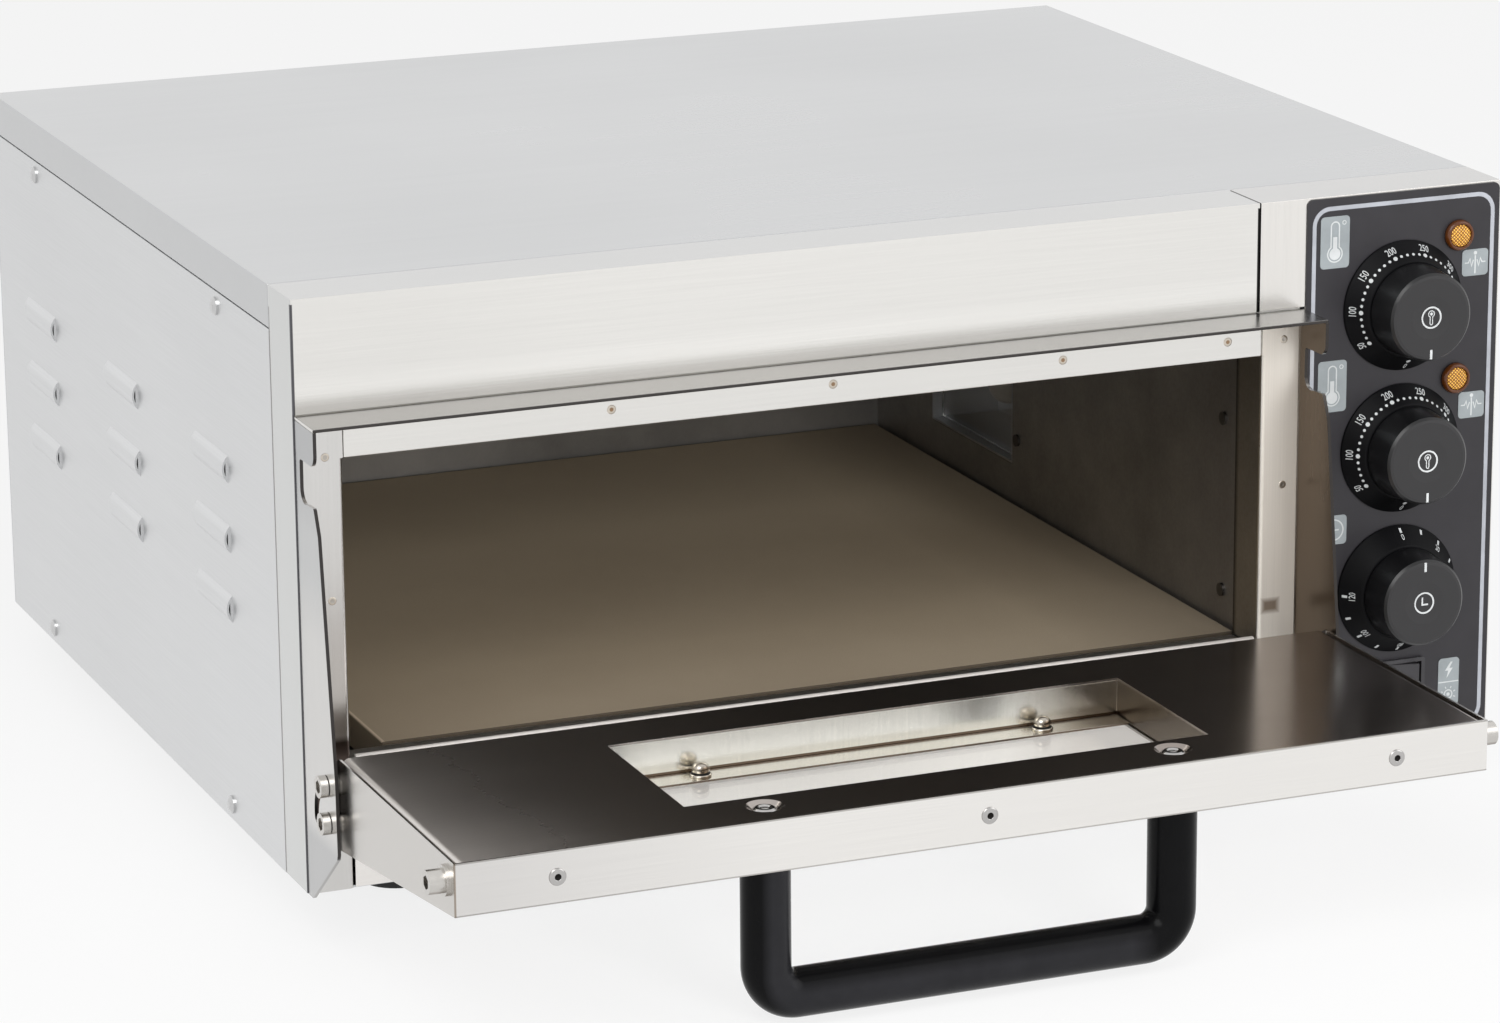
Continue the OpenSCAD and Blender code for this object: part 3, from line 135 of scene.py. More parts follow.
def makeBrushing():
    # Long thin streaks from noise that is squeezed across the brushing
    group, start, end = newGroup("brushing",
        [("Squeeze", "NodeSocketVector", (1, 1, 1)), ("Fineness", "NodeSocketFloat", 900.0)],
        [("Streak", "NodeSocketFloat"), ("Band", "NodeSocketFloat")])
    low, high = brushNoise["low"], brushNoise["high"]
    coord = addNode(group, "ShaderNodeTexCoord")
    squeezed = vectorNode(group, "MULTIPLY", coord.outputs["Object"], start.outputs["Squeeze"]).outputs[0]
    fine = noiseNode(group, squeezed, start.outputs["Fineness"], brushNoise["fineDetail"])
    fine.inputs["Roughness"].default_value = brushNoise["fineRough"]
    coarser = mathNode(group, "MULTIPLY", start.outputs["Fineness"], brushNoise["broadScale"])
    broad = noiseNode(group, squeezed, coarser, brushNoise["broadDetail"])
    group.links.new(rangeNode(group, fine.outputs["Fac"], low, high, 0, 1), end.inputs["Streak"])
    group.links.new(rangeNode(group, broad.outputs["Fac"], low, high, 0, 1), end.inputs["Band"])
    return group


def makeClouds():
    # Soft uneven patches and fine specks: handling marks, thin soot, uneven firing
    group, start, end = newGroup("clouds",
        [("Scale", "NodeSocketFloat", 8.0), ("Softness", "NodeSocketFloat", 0.5)],
        [("Patch", "NodeSocketFloat"), ("Speck", "NodeSocketFloat")])
    low, high = cloudNoise["low"], cloudNoise["high"]
    coord = addNode(group, "ShaderNodeTexCoord")
    patch = noiseNode(group, coord.outputs["Object"], start.outputs["Scale"], cloudNoise["patchDetail"])
    group.links.new(start.outputs["Softness"], patch.inputs["Roughness"])
    finer = mathNode(group, "MULTIPLY", start.outputs["Scale"], cloudNoise["speckScale"])
    speck = noiseNode(group, coord.outputs["Object"], finer, cloudNoise["speckDetail"])
    group.links.new(rangeNode(group, patch.outputs["Fac"], low, high, 0, 1), end.inputs["Patch"])
    group.links.new(rangeNode(group, speck.outputs["Fac"], low, high, 0, 1), end.inputs["Speck"])
    return group


def makeZone():
    # 1 inside a box that lies along the object's own axes, fading out towards its sides
    group, start, end = newGroup("zone",
        [("Middle", "NodeSocketVector", (0, 0, 0)), ("Reach", "NodeSocketVector", (1, 1, 1)),
         ("Fade", "NodeSocketFloat", 0.001)],
        [("Inside", "NodeSocketFloat")])
    coord = addNode(group, "ShaderNodeTexCoord")
    away = vectorNode(group, "SUBTRACT", coord.outputs["Object"], start.outputs["Middle"])
    size = vectorNode(group, "ABSOLUTE", away.outputs[0])
    room = vectorNode(group, "SUBTRACT", start.outputs["Reach"], size.outputs[0])
    split = addNode(group, "ShaderNodeSeparateXYZ")
    group.links.new(room.outputs[0], split.inputs[0])
    least = mathNode(group, "MINIMUM", split.outputs["X"], split.outputs["Y"])
    least = mathNode(group, "MINIMUM", least, split.outputs["Z"])
    group.links.new(mathNode(group, "DIVIDE", least, start.outputs["Fade"], clamp=True), end.inputs["Inside"])
    return group


def makeFacing():
    # 1 on faces that look along the given direction
    group, start, end = newGroup("facing",
        [("Direction", "NodeSocketVector", (0, 0, 1))], [("Towards", "NodeSocketFloat")])
    coord = addNode(group, "ShaderNodeTexCoord")
    dot = vectorNode(group, "DOT_PRODUCT", coord.outputs["Normal"], start.outputs["Direction"])
    group.links.new(rangeNode(group, dot.outputs["Value"], *facingEdge, 0, 1), end.inputs["Towards"])
    return group


brushing = makeBrushing()
clouds = makeClouds()
zone = makeZone()
facing = makeFacing()


def useGroup(tree, group, **values):
    node = addNode(tree, "ShaderNodeGroup", node_tree=group)
    for key, value in values.items():
        node.inputs[key].default_value = value
    return node


def newMaterial(name, colour, metallic=0.0, roughness=0.5):
    mat = bpy.data.materials.new(name)
    mat.use_nodes = True
    mat.diffuse_color = (*colour, 1)
    tree = mat.node_tree
    shader = tree.nodes["Principled BSDF"]
    shader.inputs["Base Color"].default_value = (*colour, 1)
    shader.inputs["Metallic"].default_value = metallic
    shader.inputs["Roughness"].default_value = roughness
    return mat, tree, shader


def mixNode(tree, factor, first, second, **settings):
    mix = addNode(tree, "ShaderNodeMix", data_type="RGBA", **settings)
    tree.links.new(factor, mix.inputs[0])
    for socket, value in ((mix.inputs[6], first), (mix.inputs[7], second)):  # the two colour sockets
        if isinstance(value, bpy.types.NodeSocket):
            tree.links.new(value, socket)
        else:
            socket.default_value = (*value, 1)
    return mix.outputs[2]


def where(low=None, high=None, fade=1.0, towards=None):
    # Part of a surface: inside a box in drawing millimetres, on faces that look one way, or both
    return {"box": (low, high) if low else None, "fade": fade, "towards": towards}


def addMask(tree, box, fade, towards):
    mask = None
    if box:
        low, high = at(*box[0]), at(*box[1])
        inside = useGroup(tree, zone, Middle=(low + high) / 2, Reach=(high - low) / 2, Fade=fade / 1000)
        mask = inside.outputs[0]
    if towards:
        look = useGroup(tree, facing, Direction=towards).outputs[0]
        mask = mathNode(tree, "MULTIPLY", mask, look) if mask else look
    return mask


def addShades(tree, tone, shades):
    # Each shade multiplies the colour on its part of the surface
    for tint, place in shades:
        tone = mixNode(tree, addMask(tree, **place), tone, tint, blend_type="MULTIPLY")
    return tone


def addBump(tree, shader, height, distance, strength=1.0):
    bump = addNode(tree, "ShaderNodeBump")
    bump.inputs["Distance"].default_value = distance
    bump.inputs["Strength"].default_value = strength
    tree.links.new(height, bump.inputs["Height"])
    tree.links.new(bump.outputs[0], shader.inputs["Normal"])


def grey(value):
    return (value, value, value)


# brushed sheet steels

alongX = (0.012, 1, 1)  # brushed from left to right
alongY = (1, 0.012, 1)
alongZ = (1, 1, 0.012)
left, right, front, up, down = (-1, 0, 0), (1, 0, 0), (0, -1, 0), (0, 0, 1), (0, 0, -1)
shadedCutEdge = (0.09, 0.085, 0.085)  # painted shade on the sheared edge of a sheet
foldShade = (0.73, 0.72, 0.71)  # painted shade on the door's folded sides

brushed = {  # what the steels below share, unless one says otherwise
    "metal": 1.0, "squeeze": alongX, "grain": 0.008, "cloud": 0.05, "shades": [], "matt": [],
    "fineness": 1400.0, "patches": 5.0, "softness": 0.45, "contrast": 2.2, "bump": 0.00002, "strength": 0.25,
}
steels = {
    "lidSteel": {"colour": (0.58, 0.585, 0.59), "rough": 0.30},
    "sideSteel": {"colour": (0.68, 0.685, 0.69), "rough": 0.33, "squeeze": alongY, "grain": 0.012},
    "frontSteel": {
        "colour": (0.775, 0.763, 0.737), "rough": 0.26,
        "shades": [
            # painted shade, darker towards the left end
            (grey(0.93), where((-300, -99, -99), (150, 99, 400), 150, front)),
            # painted shade on faces that look left and on faces that look up
            ((0.83, 0.85, 0.87), where(towards=left)),
            ((0.79, 0.80, 0.82), where(towards=up)),
            (grey(0.02), where((439.6, -1, 206), (442.0, 4, 253), 0.3)),  # painted shade in the seam beside the control plate
            ((0.14, 0.14, 0.155), where((-5, -5, -99), (1.0, 1.7, 253), 0.3)),  # painted shade along the front left corner
            ((0.40, 0.38, 0.37), where((-5, 28.8, -99), (0.9, 33, 246), 0.3, left)),  # painted shade in the seam to the side panel
            # painted light above the visor, over its reflection in the fascia
            (grey(1.14), where((-300, -9, 190), (900, 9, 224), 14, front)),
        ],
    },
    "visorSteel": {
        "colour": (0.75, 0.738, 0.712), "rough": 0.26,
        "shades": [
            # painted shade: the top darker, and darker still towards the right
            ((0.67, 0.665, 0.66), where(towards=up)),
            ((0.74, 0.745, 0.75), where((200, -999, -999), (2000, 999, 999), 200, up)),
            (shadedCutEdge, where((0, -26, 200), (470, -22, 210), 0.2, front)),
        ],
    },
    "controlSteel": {
        "colour": (0.79, 0.77, 0.74), "rough": 0.26, "squeeze": alongZ, "grain": 0.010,
        # painted shade on faces that look up, and black painted shade on the left edge in the seam
        "shades": [((0.77, 0.78, 0.80), where(towards=up)), (grey(0.03), where(towards=left))],
    },
    "leftBracketSteel": {
        "colour": (0.64, 0.63, 0.615), "rough": 0.24, "squeeze": alongZ, "grain": 0.010, "cloud": 0.06,
        "shades": [
            # painted shade: the side plate darker in bands up its height, the front faces warmer and darker
            # below
            ((0.84, 0.86, 0.88), where((-200, -200, 115), (200, 200, 400), 30, left)),
            ((0.80, 0.80, 0.81), where((-200, -200, 160), (200, 200, 600), 25, left)),
            ((0.76, 0.77, 0.79), where((-200, -200, -99), (200, 200, 36), 8, left)),
            ((0.92, 0.82, 0.74), where((-99, -1, -99), (199, 99, 165), 40, front)),
            ((0.13, 0.10, 0.09), where((2.4, -9, 28), (99, 99, 67.5), 3, front)),  # painted shade at the strip's foot
            (shadedCutEdge, where((0, -60, -5), (2.2, -1, 210), 0.2, front)),
        ],
    },
    "rightBracketSteel": {
        "colour": (0.64, 0.62, 0.585), "rough": 0.26, "squeeze": alongZ, "grain": 0.010, "cloud": 0.06,
        "shades": [
            # painted shade on the plate that looks into the mouth
            ((0.20, 0.155, 0.115), where((460.8, -99, -99), (470, 99, 300), 0.2, left)),
            # painted light: the strip lighter
            ((1.52, 1.50, 1.48), where((400, -0.5, -99), (461, 99, 300), 0.2, front)),
            # painted shadow low on the strip, and a painted shadow band above it
            ((0.42, 0.38, 0.34), where((400, -9, -99), (600, 99, 56), 4, front)),
            ((0.40, 0.34, 0.29), where((444, -9, 68), (454, 99, 76), 2.5, front)),
            (shadedCutEdge, where((461.3, -60, -5), (464, -1, 210), 0.2, front)),
        ],
        "matt": [(0.42, where((400, -0.5, 50), (461, 99, 300), 0.2, front))],
    },
    "doorSteel": {
        "colour": (0.83, 0.812, 0.785), "rough": 0.24,
        "shades": [
            # painted shade, darker towards the left end
            ((0.82, 0.82, 0.83), where((-300, -300, -99), (140, 99, 400), 140, front)),
            (foldShade, where(towards=left)),
            (foldShade, where(towards=right)),
            ((0.06, 0.05, 0.045), where((0, -36, 20), (470, 0, 75), 1.5)),  # painted shade at the hinge end
            # painted shade bands on the front face, at its top edge and low down
            ((0.58, 0.57, 0.56), where((0, -180, 68.2), (470, -175, 80), 0.3, front)),
            ((0.58, 0.57, 0.56), where((0, -180, 30), (470, -175, 47.7), 0.3, front)),
            # painted shade along the left corner's edge
            ((0.50, 0.44, 0.38), where((0, -180, 30), (5.0, -175.2, 80), 0.3)),
        ],
    },
    "sillSteel": {
        "colour": (0.88, 0.85, 0.82), "rough": 0.30,
        # painted shade below the rolled lip
        "shades": [((0.22, 0.19, 0.16), where((0, -1, 24), (470, 1.2, 54.3), 0.5))],
        "matt": [(0.5, where((0, -9, 54.2), (470, 9, 60), 0.2))],  # the rolled lip
    },
    "mirrorSteel": {
        "colour": (0.76, 0.72, 0.69), "rough": 0.18, "grain": 0.010, "cloud": 0.04,
        "metal": 0.97,
        "shades": [
            # painted shade, darker towards the right
            ((0.44, 0.41, 0.39), where((-10, -999, -999), (2000, 999, 999), 200)),
            ((0.45, 0.42, 0.40), where((454.8, -300, -99), (900, 99, 300), 0.5)),  # painted shade on the right rolled edge
        ],
        "matt": [(0.20, where((-999, -999, -999), (90, 999, 999), 90))],
    },
    "frameSteel": {
        "colour": (0.84, 0.82, 0.76), "rough": 0.22, "squeeze": alongZ, "grain": 0.02,
        "shades": [
            # painted shade in the joint at the window's foot, on the right part's front faces and on faces
            # that look left
            ((0.20, 0.15, 0.12), where((0, -70, 51.5), (470, -55, 54.2), 0.2)),
            ((0.42, 0.38, 0.34), where((292, -300, 0), (900, 300, 99), 36, front)),
            ((0.22, 0.19, 0.165), where((300, -300, 0), (400, 300, 99), 1, left)),
        ],
    },
    "retainerSteel": {
        "colour": (0.80, 0.78, 0.72), "rough": 0.24, "grain": 0.02,
        # painted shade on the front faces
        "shades": [((0.25, 0.20, 0.17), where(towards=front))],
    },
    "rearSteel": {"colour": (0.60, 0.61, 0.62), "rough": 0.36, "grain": 0.012, "cloud": 0.10},
}


def makeSteel(name, spec):
    spec = {**brushed, **spec}
    mat, tree, shader = newMaterial(name, spec["colour"], spec["metal"], spec["rough"])
    streaks = useGroup(tree, brushing, Squeeze=spec["squeeze"], Fineness=spec["fineness"])
    patches = useGroup(tree, clouds, Scale=spec["patches"], Softness=spec["softness"])
    spread = spec["contrast"] * spec["grain"]
    dark = tuple(c * (1 - spread) for c in spec["colour"])
    light = tuple(min(1, c * (1 + spread)) for c in spec["colour"])
    tone = addShades(tree, mixNode(tree, streaks.outputs["Streak"], dark, light), spec["shades"])
    tree.links.new(tone, shader.inputs["Base Color"])
    rough = rangeNode(tree, patches.outputs["Patch"], 0, 1,
                      spec["rough"] - spec["cloud"] / 2, spec["rough"] + spec["cloud"] / 2)
    for more, place in spec["matt"]:
        rough = mathNode(tree, "ADD", rough, mathNode(tree, "MULTIPLY", addMask(tree, **place), more))
    streakRough = rangeNode(tree, streaks.outputs["Band"], 0, 1, -spec["grain"], spec["grain"])
    tree.links.new(mathNode(tree, "ADD", rough, streakRough), shader.inputs["Roughness"])
    addBump(tree, shader, streaks.outputs["Streak"], spec["bump"], spec["strength"])
    return mat


# bright small parts and weld marks

bright = {"patches": 60.0, "softness": 0.6, "darker": 0.92, "smoother": 0.04, "rougher": 0.08, "shades": []}
brights = {
    # painted shade on the undersides of bolts and on the side of nuts that looks front and down
    "boltSteel": {"colour": (0.62, 0.60, 0.57), "rough": 0.25,
                  "shades": [((0.42, 0.38, 0.34), where(towards=down))]},
    "nutSteel": {"colour": (0.52, 0.48, 0.42), "rough": 0.12,
                 "shades": [((0.30, 0.24, 0.19), where(towards=(0.3, -0.9, -0.1)))]},
    "rivetSteel": {"colour": (0.50, 0.49, 0.48), "rough": 0.2},
    "sootySteel": {"colour": (0.12, 0.115, 0.11), "rough": 0.3},
    # painted shade, black, for holes and grooves in the turned heads
    "paintedShadeBlack": {"colour": (0.02, 0.019, 0.018), "rough": 0.5},
    "screwSteel": {"colour": (0.60, 0.60, 0.60), "rough": 0.14},
    "weldBrown": {"colour": (0.36, 0.24, 0.15), "rough": 0.4},
    "weldHalo": {"colour": (0.66, 0.60, 0.52), "rough": 0.32},
    "weldGrey": {"colour": (0.50, 0.47, 0.43), "rough": 0.35},
}


def linkRough(tree, shader, factor, smoothest, roughest):
    tree.links.new(rangeNode(tree, factor, 0, 1, smoothest, roughest), shader.inputs["Roughness"])


def makeBright(name, spec):
    spec = {**bright, **spec}
    mat, tree, shader = newMaterial(name, spec["colour"], 1.0, spec["rough"])
    patch = useGroup(tree, clouds, Scale=spec["patches"], Softness=spec["softness"]).outputs["Patch"]
    dark = tuple(c * spec["darker"] for c in spec["colour"])
    tone = addShades(tree, mixNode(tree, patch, dark, spec["colour"]), spec["shades"])
    tree.links.new(tone, shader.inputs["Base Color"])
    linkRough(tree, shader, patch, spec["rough"] - spec["smoother"], spec["rough"] + spec["rougher"])
    return mat


# aluminised sheet round the chamber, dulled by heat

dulled = {
    "metal": 0.85, "patches": 9.0, "softness": 0.6, "darker": 0.75, "lighter": 1.2,
    "smoother": 0.06, "rougher": 0.08, "bump": 0.00008, "strength": 0.3, "shades": [],
}
ovenSteels = {
    "chamberSteel": {"colour": (0.42, 0.405, 0.385), "rough": 0.42},
    # painted shade near the front
    "rightWallSteel": {"colour": (0.42, 0.405, 0.385), "rough": 0.42,
                       "shades": [((0.60, 0.58, 0.57), where((-999, -999, -999), (999, 160, 999), 120))]},
    # painted shade at the rear edge, in the seam to the chamber wall
    "jambSteel": {"colour": (0.24, 0.21, 0.17), "rough": 0.40,
                  "shades": [((0.15, 0.14, 0.13), where((-99, 20.5, -99), (900, 99, 300), 3))]},
    "elementSheath": {"colour": (0.06, 0.055, 0.05), "rough": 0.5},
}


def makeOvenSteel(name, spec):
    spec = {**dulled, **spec}
    mat, tree, shader = newMaterial(name, spec["colour"], spec["metal"], spec["rough"])
    patches = useGroup(tree, clouds, Scale=spec["patches"], Softness=spec["softness"])
    dark = tuple(c * spec["darker"] for c in spec["colour"])
    light = tuple(min(1, c * spec["lighter"]) for c in spec["colour"])
    tone = addShades(tree, mixNode(tree, patches.outputs["Patch"], dark, light), spec["shades"])
    tree.links.new(tone, shader.inputs["Base Color"])
    speck = patches.outputs["Speck"]
    linkRough(tree, shader, speck, spec["rough"] - spec["smoother"], spec["rough"] + spec["rougher"])
    addBump(tree, shader, speck, spec["bump"], spec["strength"])
    return mat


stone = {
    "colour": (0.49, 0.402, 0.287),
    "dark": (0.42, 0.338, 0.237),
    "speck": (0.37, 0.296, 0.204), "speckShare": 0.25,
    "rough": 0.85,
    "patches": 5.0, "softness": 0.5,
    "grain": 40.0, "grainSoftness": 0.7, "bump": 0.00015, "strength": 0.4,
    "shades": [
        ((1.9, 1.9, 2.0), where((40, 20, 53.0), (44.2, 440, 60), 0.6)),  # lighter along the left edge
        ((0.22, 0.21, 0.20), where((-99, -300, 0), (600, 26.8, 99), 0.3)),  # painted shade on the front edge
        # painted shade towards the front, and painted shadow on the right part
        ((0.75, 0.75, 0.76), where((-999, -999, -999), (999, 110, 999), 80)),
        (grey(0.68), where((370, -999, -999), (999, 999, 999), 60)),
    ],
}


def makeStone():
    mat, tree, shader = newMaterial("firedClay", stone["colour"], 0.0, stone["rough"])
    patches = useGroup(tree, clouds, Scale=stone["patches"], Softness=stone["softness"])
    speck = useGroup(tree, clouds, Scale=stone["grain"], Softness=stone["grainSoftness"]).outputs["Speck"]
    base = mixNode(tree, patches.outputs["Patch"], stone["dark"], stone["colour"])
    base = mixNode(tree, mathNode(tree, "MULTIPLY", speck, stone["speckShare"]), base, stone["speck"])
    tree.links.new(addShades(tree, base, stone["shades"]), shader.inputs["Base Color"])
    addBump(tree, shader, speck, stone["bump"], stone["strength"])
    return mat


moulded = {  # what the plastics below share, unless one says otherwise
    "grain": 70.0, "softness": 0.6, "spread": 0.1, "roughSpread": 0.03, "bump": 0.00001, "strength": 0.6,
    "gloss": 0.5, "shades": [],
}
# painted sheen on the handle's faces that look right, front and down
paintedHandleSheen = where((-999, -999, -999), (312, 999, 999), 12, (0.45, -0.85, -0.2))
plastics = {
    "overlayFilm": {"colour": (0.0195, 0.0182, 0.0212), "rough": 0.42, "gloss": 0.45},
    "dialBlack": {"colour": (0.0035, 0.0035, 0.004), "rough": 0.46, "gloss": 0.09},
    "switchBlack": {"colour": (0.03, 0.029, 0.032), "rough": 0.36},
    "handleBlack": {"colour": (0.0026, 0.0026, 0.0029), "rough": 0.2, "gloss": 0.09,
                    "shades": [(grey(6.5), paintedHandleSheen)]},
    "rubberBlack": {"colour": (0.018, 0.018, 0.018), "rough": 0.7, "bump": 0.0001},
    "plateGrey": {"colour": (0.25, 0.275, 0.285), "rough": 0.45},
    "printWhite": {"colour": (0.50, 0.515, 0.52), "rough": 0.5},
    "borderPrint": {"colour": (0.34, 0.352, 0.385), "rough": 0.42},
    "wool": {"colour": (0.62, 0.56, 0.42), "rough": 0.95, "bump": 0.001},
    "ceramic": {"colour": (0.74, 0.70, 0.62), "rough": 0.35, "bump": 0.00002},
    "zinc": {"colour": (0.56, 0.55, 0.50), "rough": 0.4, "bump": 0.00002},
}


def makePlastic(name, spec):
    spec = {**moulded, **spec}
    mat, tree, shader = newMaterial(name, spec["colour"], 0.0, spec["rough"])
    shader.inputs["Specular IOR Level"].default_value = spec["gloss"]
    grain = useGroup(tree, clouds, Scale=spec["grain"], Softness=spec["softness"])
    patch = grain.outputs["Patch"]
    dark = tuple(c * (1 - spec["spread"]) for c in spec["colour"])
    light = tuple(c * (1 + spec["spread"]) for c in spec["colour"])
    tone = addShades(tree, mixNode(tree, patch, dark, light), spec["shades"])
    tree.links.new(tone, shader.inputs["Base Color"])
    linkRough(tree, shader, patch, spec["rough"] - spec["roughSpread"], spec["rough"] + spec["roughSpread"])
    addBump(tree, shader, grain.outputs["Speck"], spec["bump"], spec["strength"])
    return mat


knobLook = {
    "colour": (0.02, 0.02, 0.021),
    "side": (0.004, 0.004, 0.0045), "sideRough": 0.3,
    "face": (0.016, 0.0155, 0.0165), "faceRough": 0.5,
    "turn": (-0.8, -0.97),  # how far a normal points to the front where the face begins
}


def makeKnob():
    # Glossy round the side, frosted on the face
    mat, tree, shader = newMaterial("knobBlack", knobLook["colour"], 0.0, knobLook["sideRough"])
    coord = addNode(tree, "ShaderNodeTexCoord")
    split = addNode(tree, "ShaderNodeSeparateXYZ")
    tree.links.new(coord.outputs["Normal"], split.inputs[0])
    face = rangeNode(tree, split.outputs["Y"], *knobLook["turn"], 0, 1)
    tree.links.new(mixNode(tree, face, knobLook["side"], knobLook["face"]), shader.inputs["Base Color"])
    linkRough(tree, shader, face, knobLook["sideRough"], knobLook["faceRough"])
    grain = useGroup(tree, clouds, Scale=moulded["grain"], Softness=moulded["softness"])
    addBump(tree, shader, grain.outputs["Speck"], moulded["bump"], moulded["strength"])
    return mat


glass = {"colour": (0.975, 0.975, 0.965), "rough": (0.01, 0.035), "ior": 1.5,
         "patches": 12.0, "softness": 0.6}


def makeGlass():
    mat, tree, shader = newMaterial("clearGlass", glass["colour"], 0.0, glass["rough"][0])
    shader.inputs["Transmission Weight"].default_value = 1.0
    shader.inputs["IOR"].default_value = glass["ior"]
    patches = useGroup(tree, clouds, Scale=glass["patches"], Softness=glass["softness"])
    linkRough(tree, shader, patches.outputs["Patch"], *glass["rough"])
    return mat


ambers = {  # the lens is cut into small diamonds, cut millimetres apart, with painted shade in the grooves between them
    "amberLens": {"colour": (1.0, 0.56, 0.09), "groove": (0.17, 0.05, 0.003), "cut": 1.6},
    "amberRim": {"colour": (0.09, 0.025, 0.004)},
}
amber = {"rough": 0.12, "ior": 1.49, "patches": 120.0, "softness": 0.5, "darker": 0.8,
         "grooveEdge": (0.16, 0.42)}


def makeAmber(name, spec):
    mat, tree, shader = newMaterial(name, spec["colour"], 0.0, amber["rough"])
    shader.inputs["IOR"].default_value = amber["ior"]
    patches = useGroup(tree, clouds, Scale=amber["patches"], Softness=amber["softness"])
    dark = tuple(c * amber["darker"] for c in spec["colour"])
    tone = mixNode(tree, patches.outputs["Patch"], spec["colour"], dark)
    if "cut" in spec:
        coord = addNode(tree, "ShaderNodeTexCoord")
        split = addNode(tree, "ShaderNodeSeparateXYZ")
        tree.links.new(coord.outputs["Object"], split.inputs[0])
        most = None
        for kind in ("ADD", "SUBTRACT"):
            slanted = mathNode(tree, kind, split.outputs["X"], split.outputs["Z"])
            along = mathNode(tree, "FRACT", mathNode(tree, "MULTIPLY", slanted, 1000 / spec["cut"]))
            off = mathNode(tree, "ABSOLUTE", mathNode(tree, "SUBTRACT", along, 0.5))
            most = mathNode(tree, "MAXIMUM", most, off) if most else off
        tone = mixNode(tree, rangeNode(tree, most, *amber["grooveEdge"], 0, 1), tone, spec["groove"])
    tree.links.new(tone, shader.inputs["Base Color"])
    return mat


materials = {"firedClay": makeStone(), "knobBlack": makeKnob(), "clearGlass": makeGlass()}
for make, table in ((makeSteel, steels), (makeBright, brights), (makeOvenSteel, ovenSteels),
                    (makePlastic, plastics), (makeAmber, ambers)):
    for name, spec in table.items():
        materials[name] = make(name, spec)
print("materials made")

finishes = {
    "lidSteel": ["top_cover"],
    "sideSteel": ["left_side_panel", "right_side_panel"],
    "rearSteel": ["back_panel", "base_tray", "top_rails", "partition_wall", "lamp_housing"],
    "frontSteel": ["front_frame"],
    "controlSteel": ["control_plate"],
    "overlayFilm": ["control_overlay"],
    "plateGrey": ["icon_plates"],
    "leftBracketSteel": ["left_hinge_bracket"],
    "rightBracketSteel": ["right_hinge_bracket"],
    "visorSteel": ["visor"],
    "sillSteel": ["sill"],
    "jambSteel": ["mouth_jambs"],
    "chamberSteel": ["chamber_left_wall", "chamber_back_wall", "chamber_ceiling", "chamber_floor",
                     "stone_rails", "heater_hangers"],
    "rightWallSteel": ["chamber_right_wall"],
    "firedClay": ["pizza_stone"],
    "elementSheath": ["upper_heater", "lower_heater"],
    "wool": ["insulation", "door_filling"],
    "clearGlass": ["lamp_glass", "door_glass"],
    "ceramic": ["lamp_bulb", "terminal_block"],
    "sootySteel": ["chamber_rivets"],
    "zinc": ["upper_thermostat", "lower_thermostat", "timer"],
    "dialBlack": ["dial_skirts"],
    "amberRim": ["pilot_lamp_rims"],
    "amberLens": ["pilot_lamp_lenses"],
    "switchBlack": ["switch_body", "power_rocker", "lamp_rocker"],
    "rubberBlack": ["rubber_feet", "cable_gland"],
    "screwSteel": ["casing_screws"],
    "doorSteel": ["door_skin"],
    "mirrorSteel": ["door_inner_panel"],
    "frameSteel": ["window_frame"],
    "retainerSteel": ["glass_retainers"],
    "nutSteel": ["retainer_nuts"],
    "handleBlack": ["door_handle"],
    "boltSteel": ["handle_screws", "door_rivets", "hinge_studs", "latch_studs"],
    "knobBlack": ["upper_thermostat_knob", "lower_thermostat_knob", "timer_knob"],
}

softEdges = {  # radius of the rounded edges in millimetres
    "top_cover": 0.45, "left_side_panel": 0.2, "right_side_panel": 0.2, "back_panel": 0.2,
    "front_frame": 0.4, "control_plate": 0.4, "control_overlay": 0.15, "visor": 0.4,
    "left_hinge_bracket": 0.3, "right_hinge_bracket": 0.3, "sill": 0.25, "pizza_stone": 0.8,
    "window_frame": 0.2, "glass_retainers": 0.2,
    "switch_body": 0.3, "power_rocker": 0.25, "lamp_rocker": 0.25, "door_glass": 0.3,
}
rounding = {"merge": 0.00002, "segments": 2, "angle": 35, "weight": 100}


def dressNode(name, finish):
    node = nodes[name]
    node.data.materials.clear()
    node.data.materials.append(materials[finish])
    if name in softEdges:
        weld = node.modifiers.new("weld", "WELD")
        weld.merge_threshold = rounding["merge"]
        bevel = node.modifiers.new("softEdges", "BEVEL")
        bevel.width = softEdges[name] / 1000
        bevel.segments = rounding["segments"]
        bevel.limit_method = "ANGLE"
        bevel.angle_limit = math.radians(rounding["angle"])
        bevel.use_clamp_overlap = True
        flat = node.modifiers.new("flatFaces", "WEIGHTED_NORMAL")
        flat.weight = rounding["weight"]
        flat.keep_sharp = False


for finish, names in finishes.items():
    for name in names:
        dressNode(name, finish)
print("nodes dressed")


# making small pieces

def addPiece(name, bm, body, slotName, *mats):
    mesh = bpy.data.meshes.new(name)
    bmesh.ops.recalc_face_normals(bm, faces=bm.faces)
    bm.to_mesh(mesh)
    bm.free()
    for mat in mats:
        mesh.materials.append(materials[mat])
    piece = bpy.data.objects.new(name, mesh)
    scene.collection.objects.link(piece)
    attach(piece, body)
    return piece


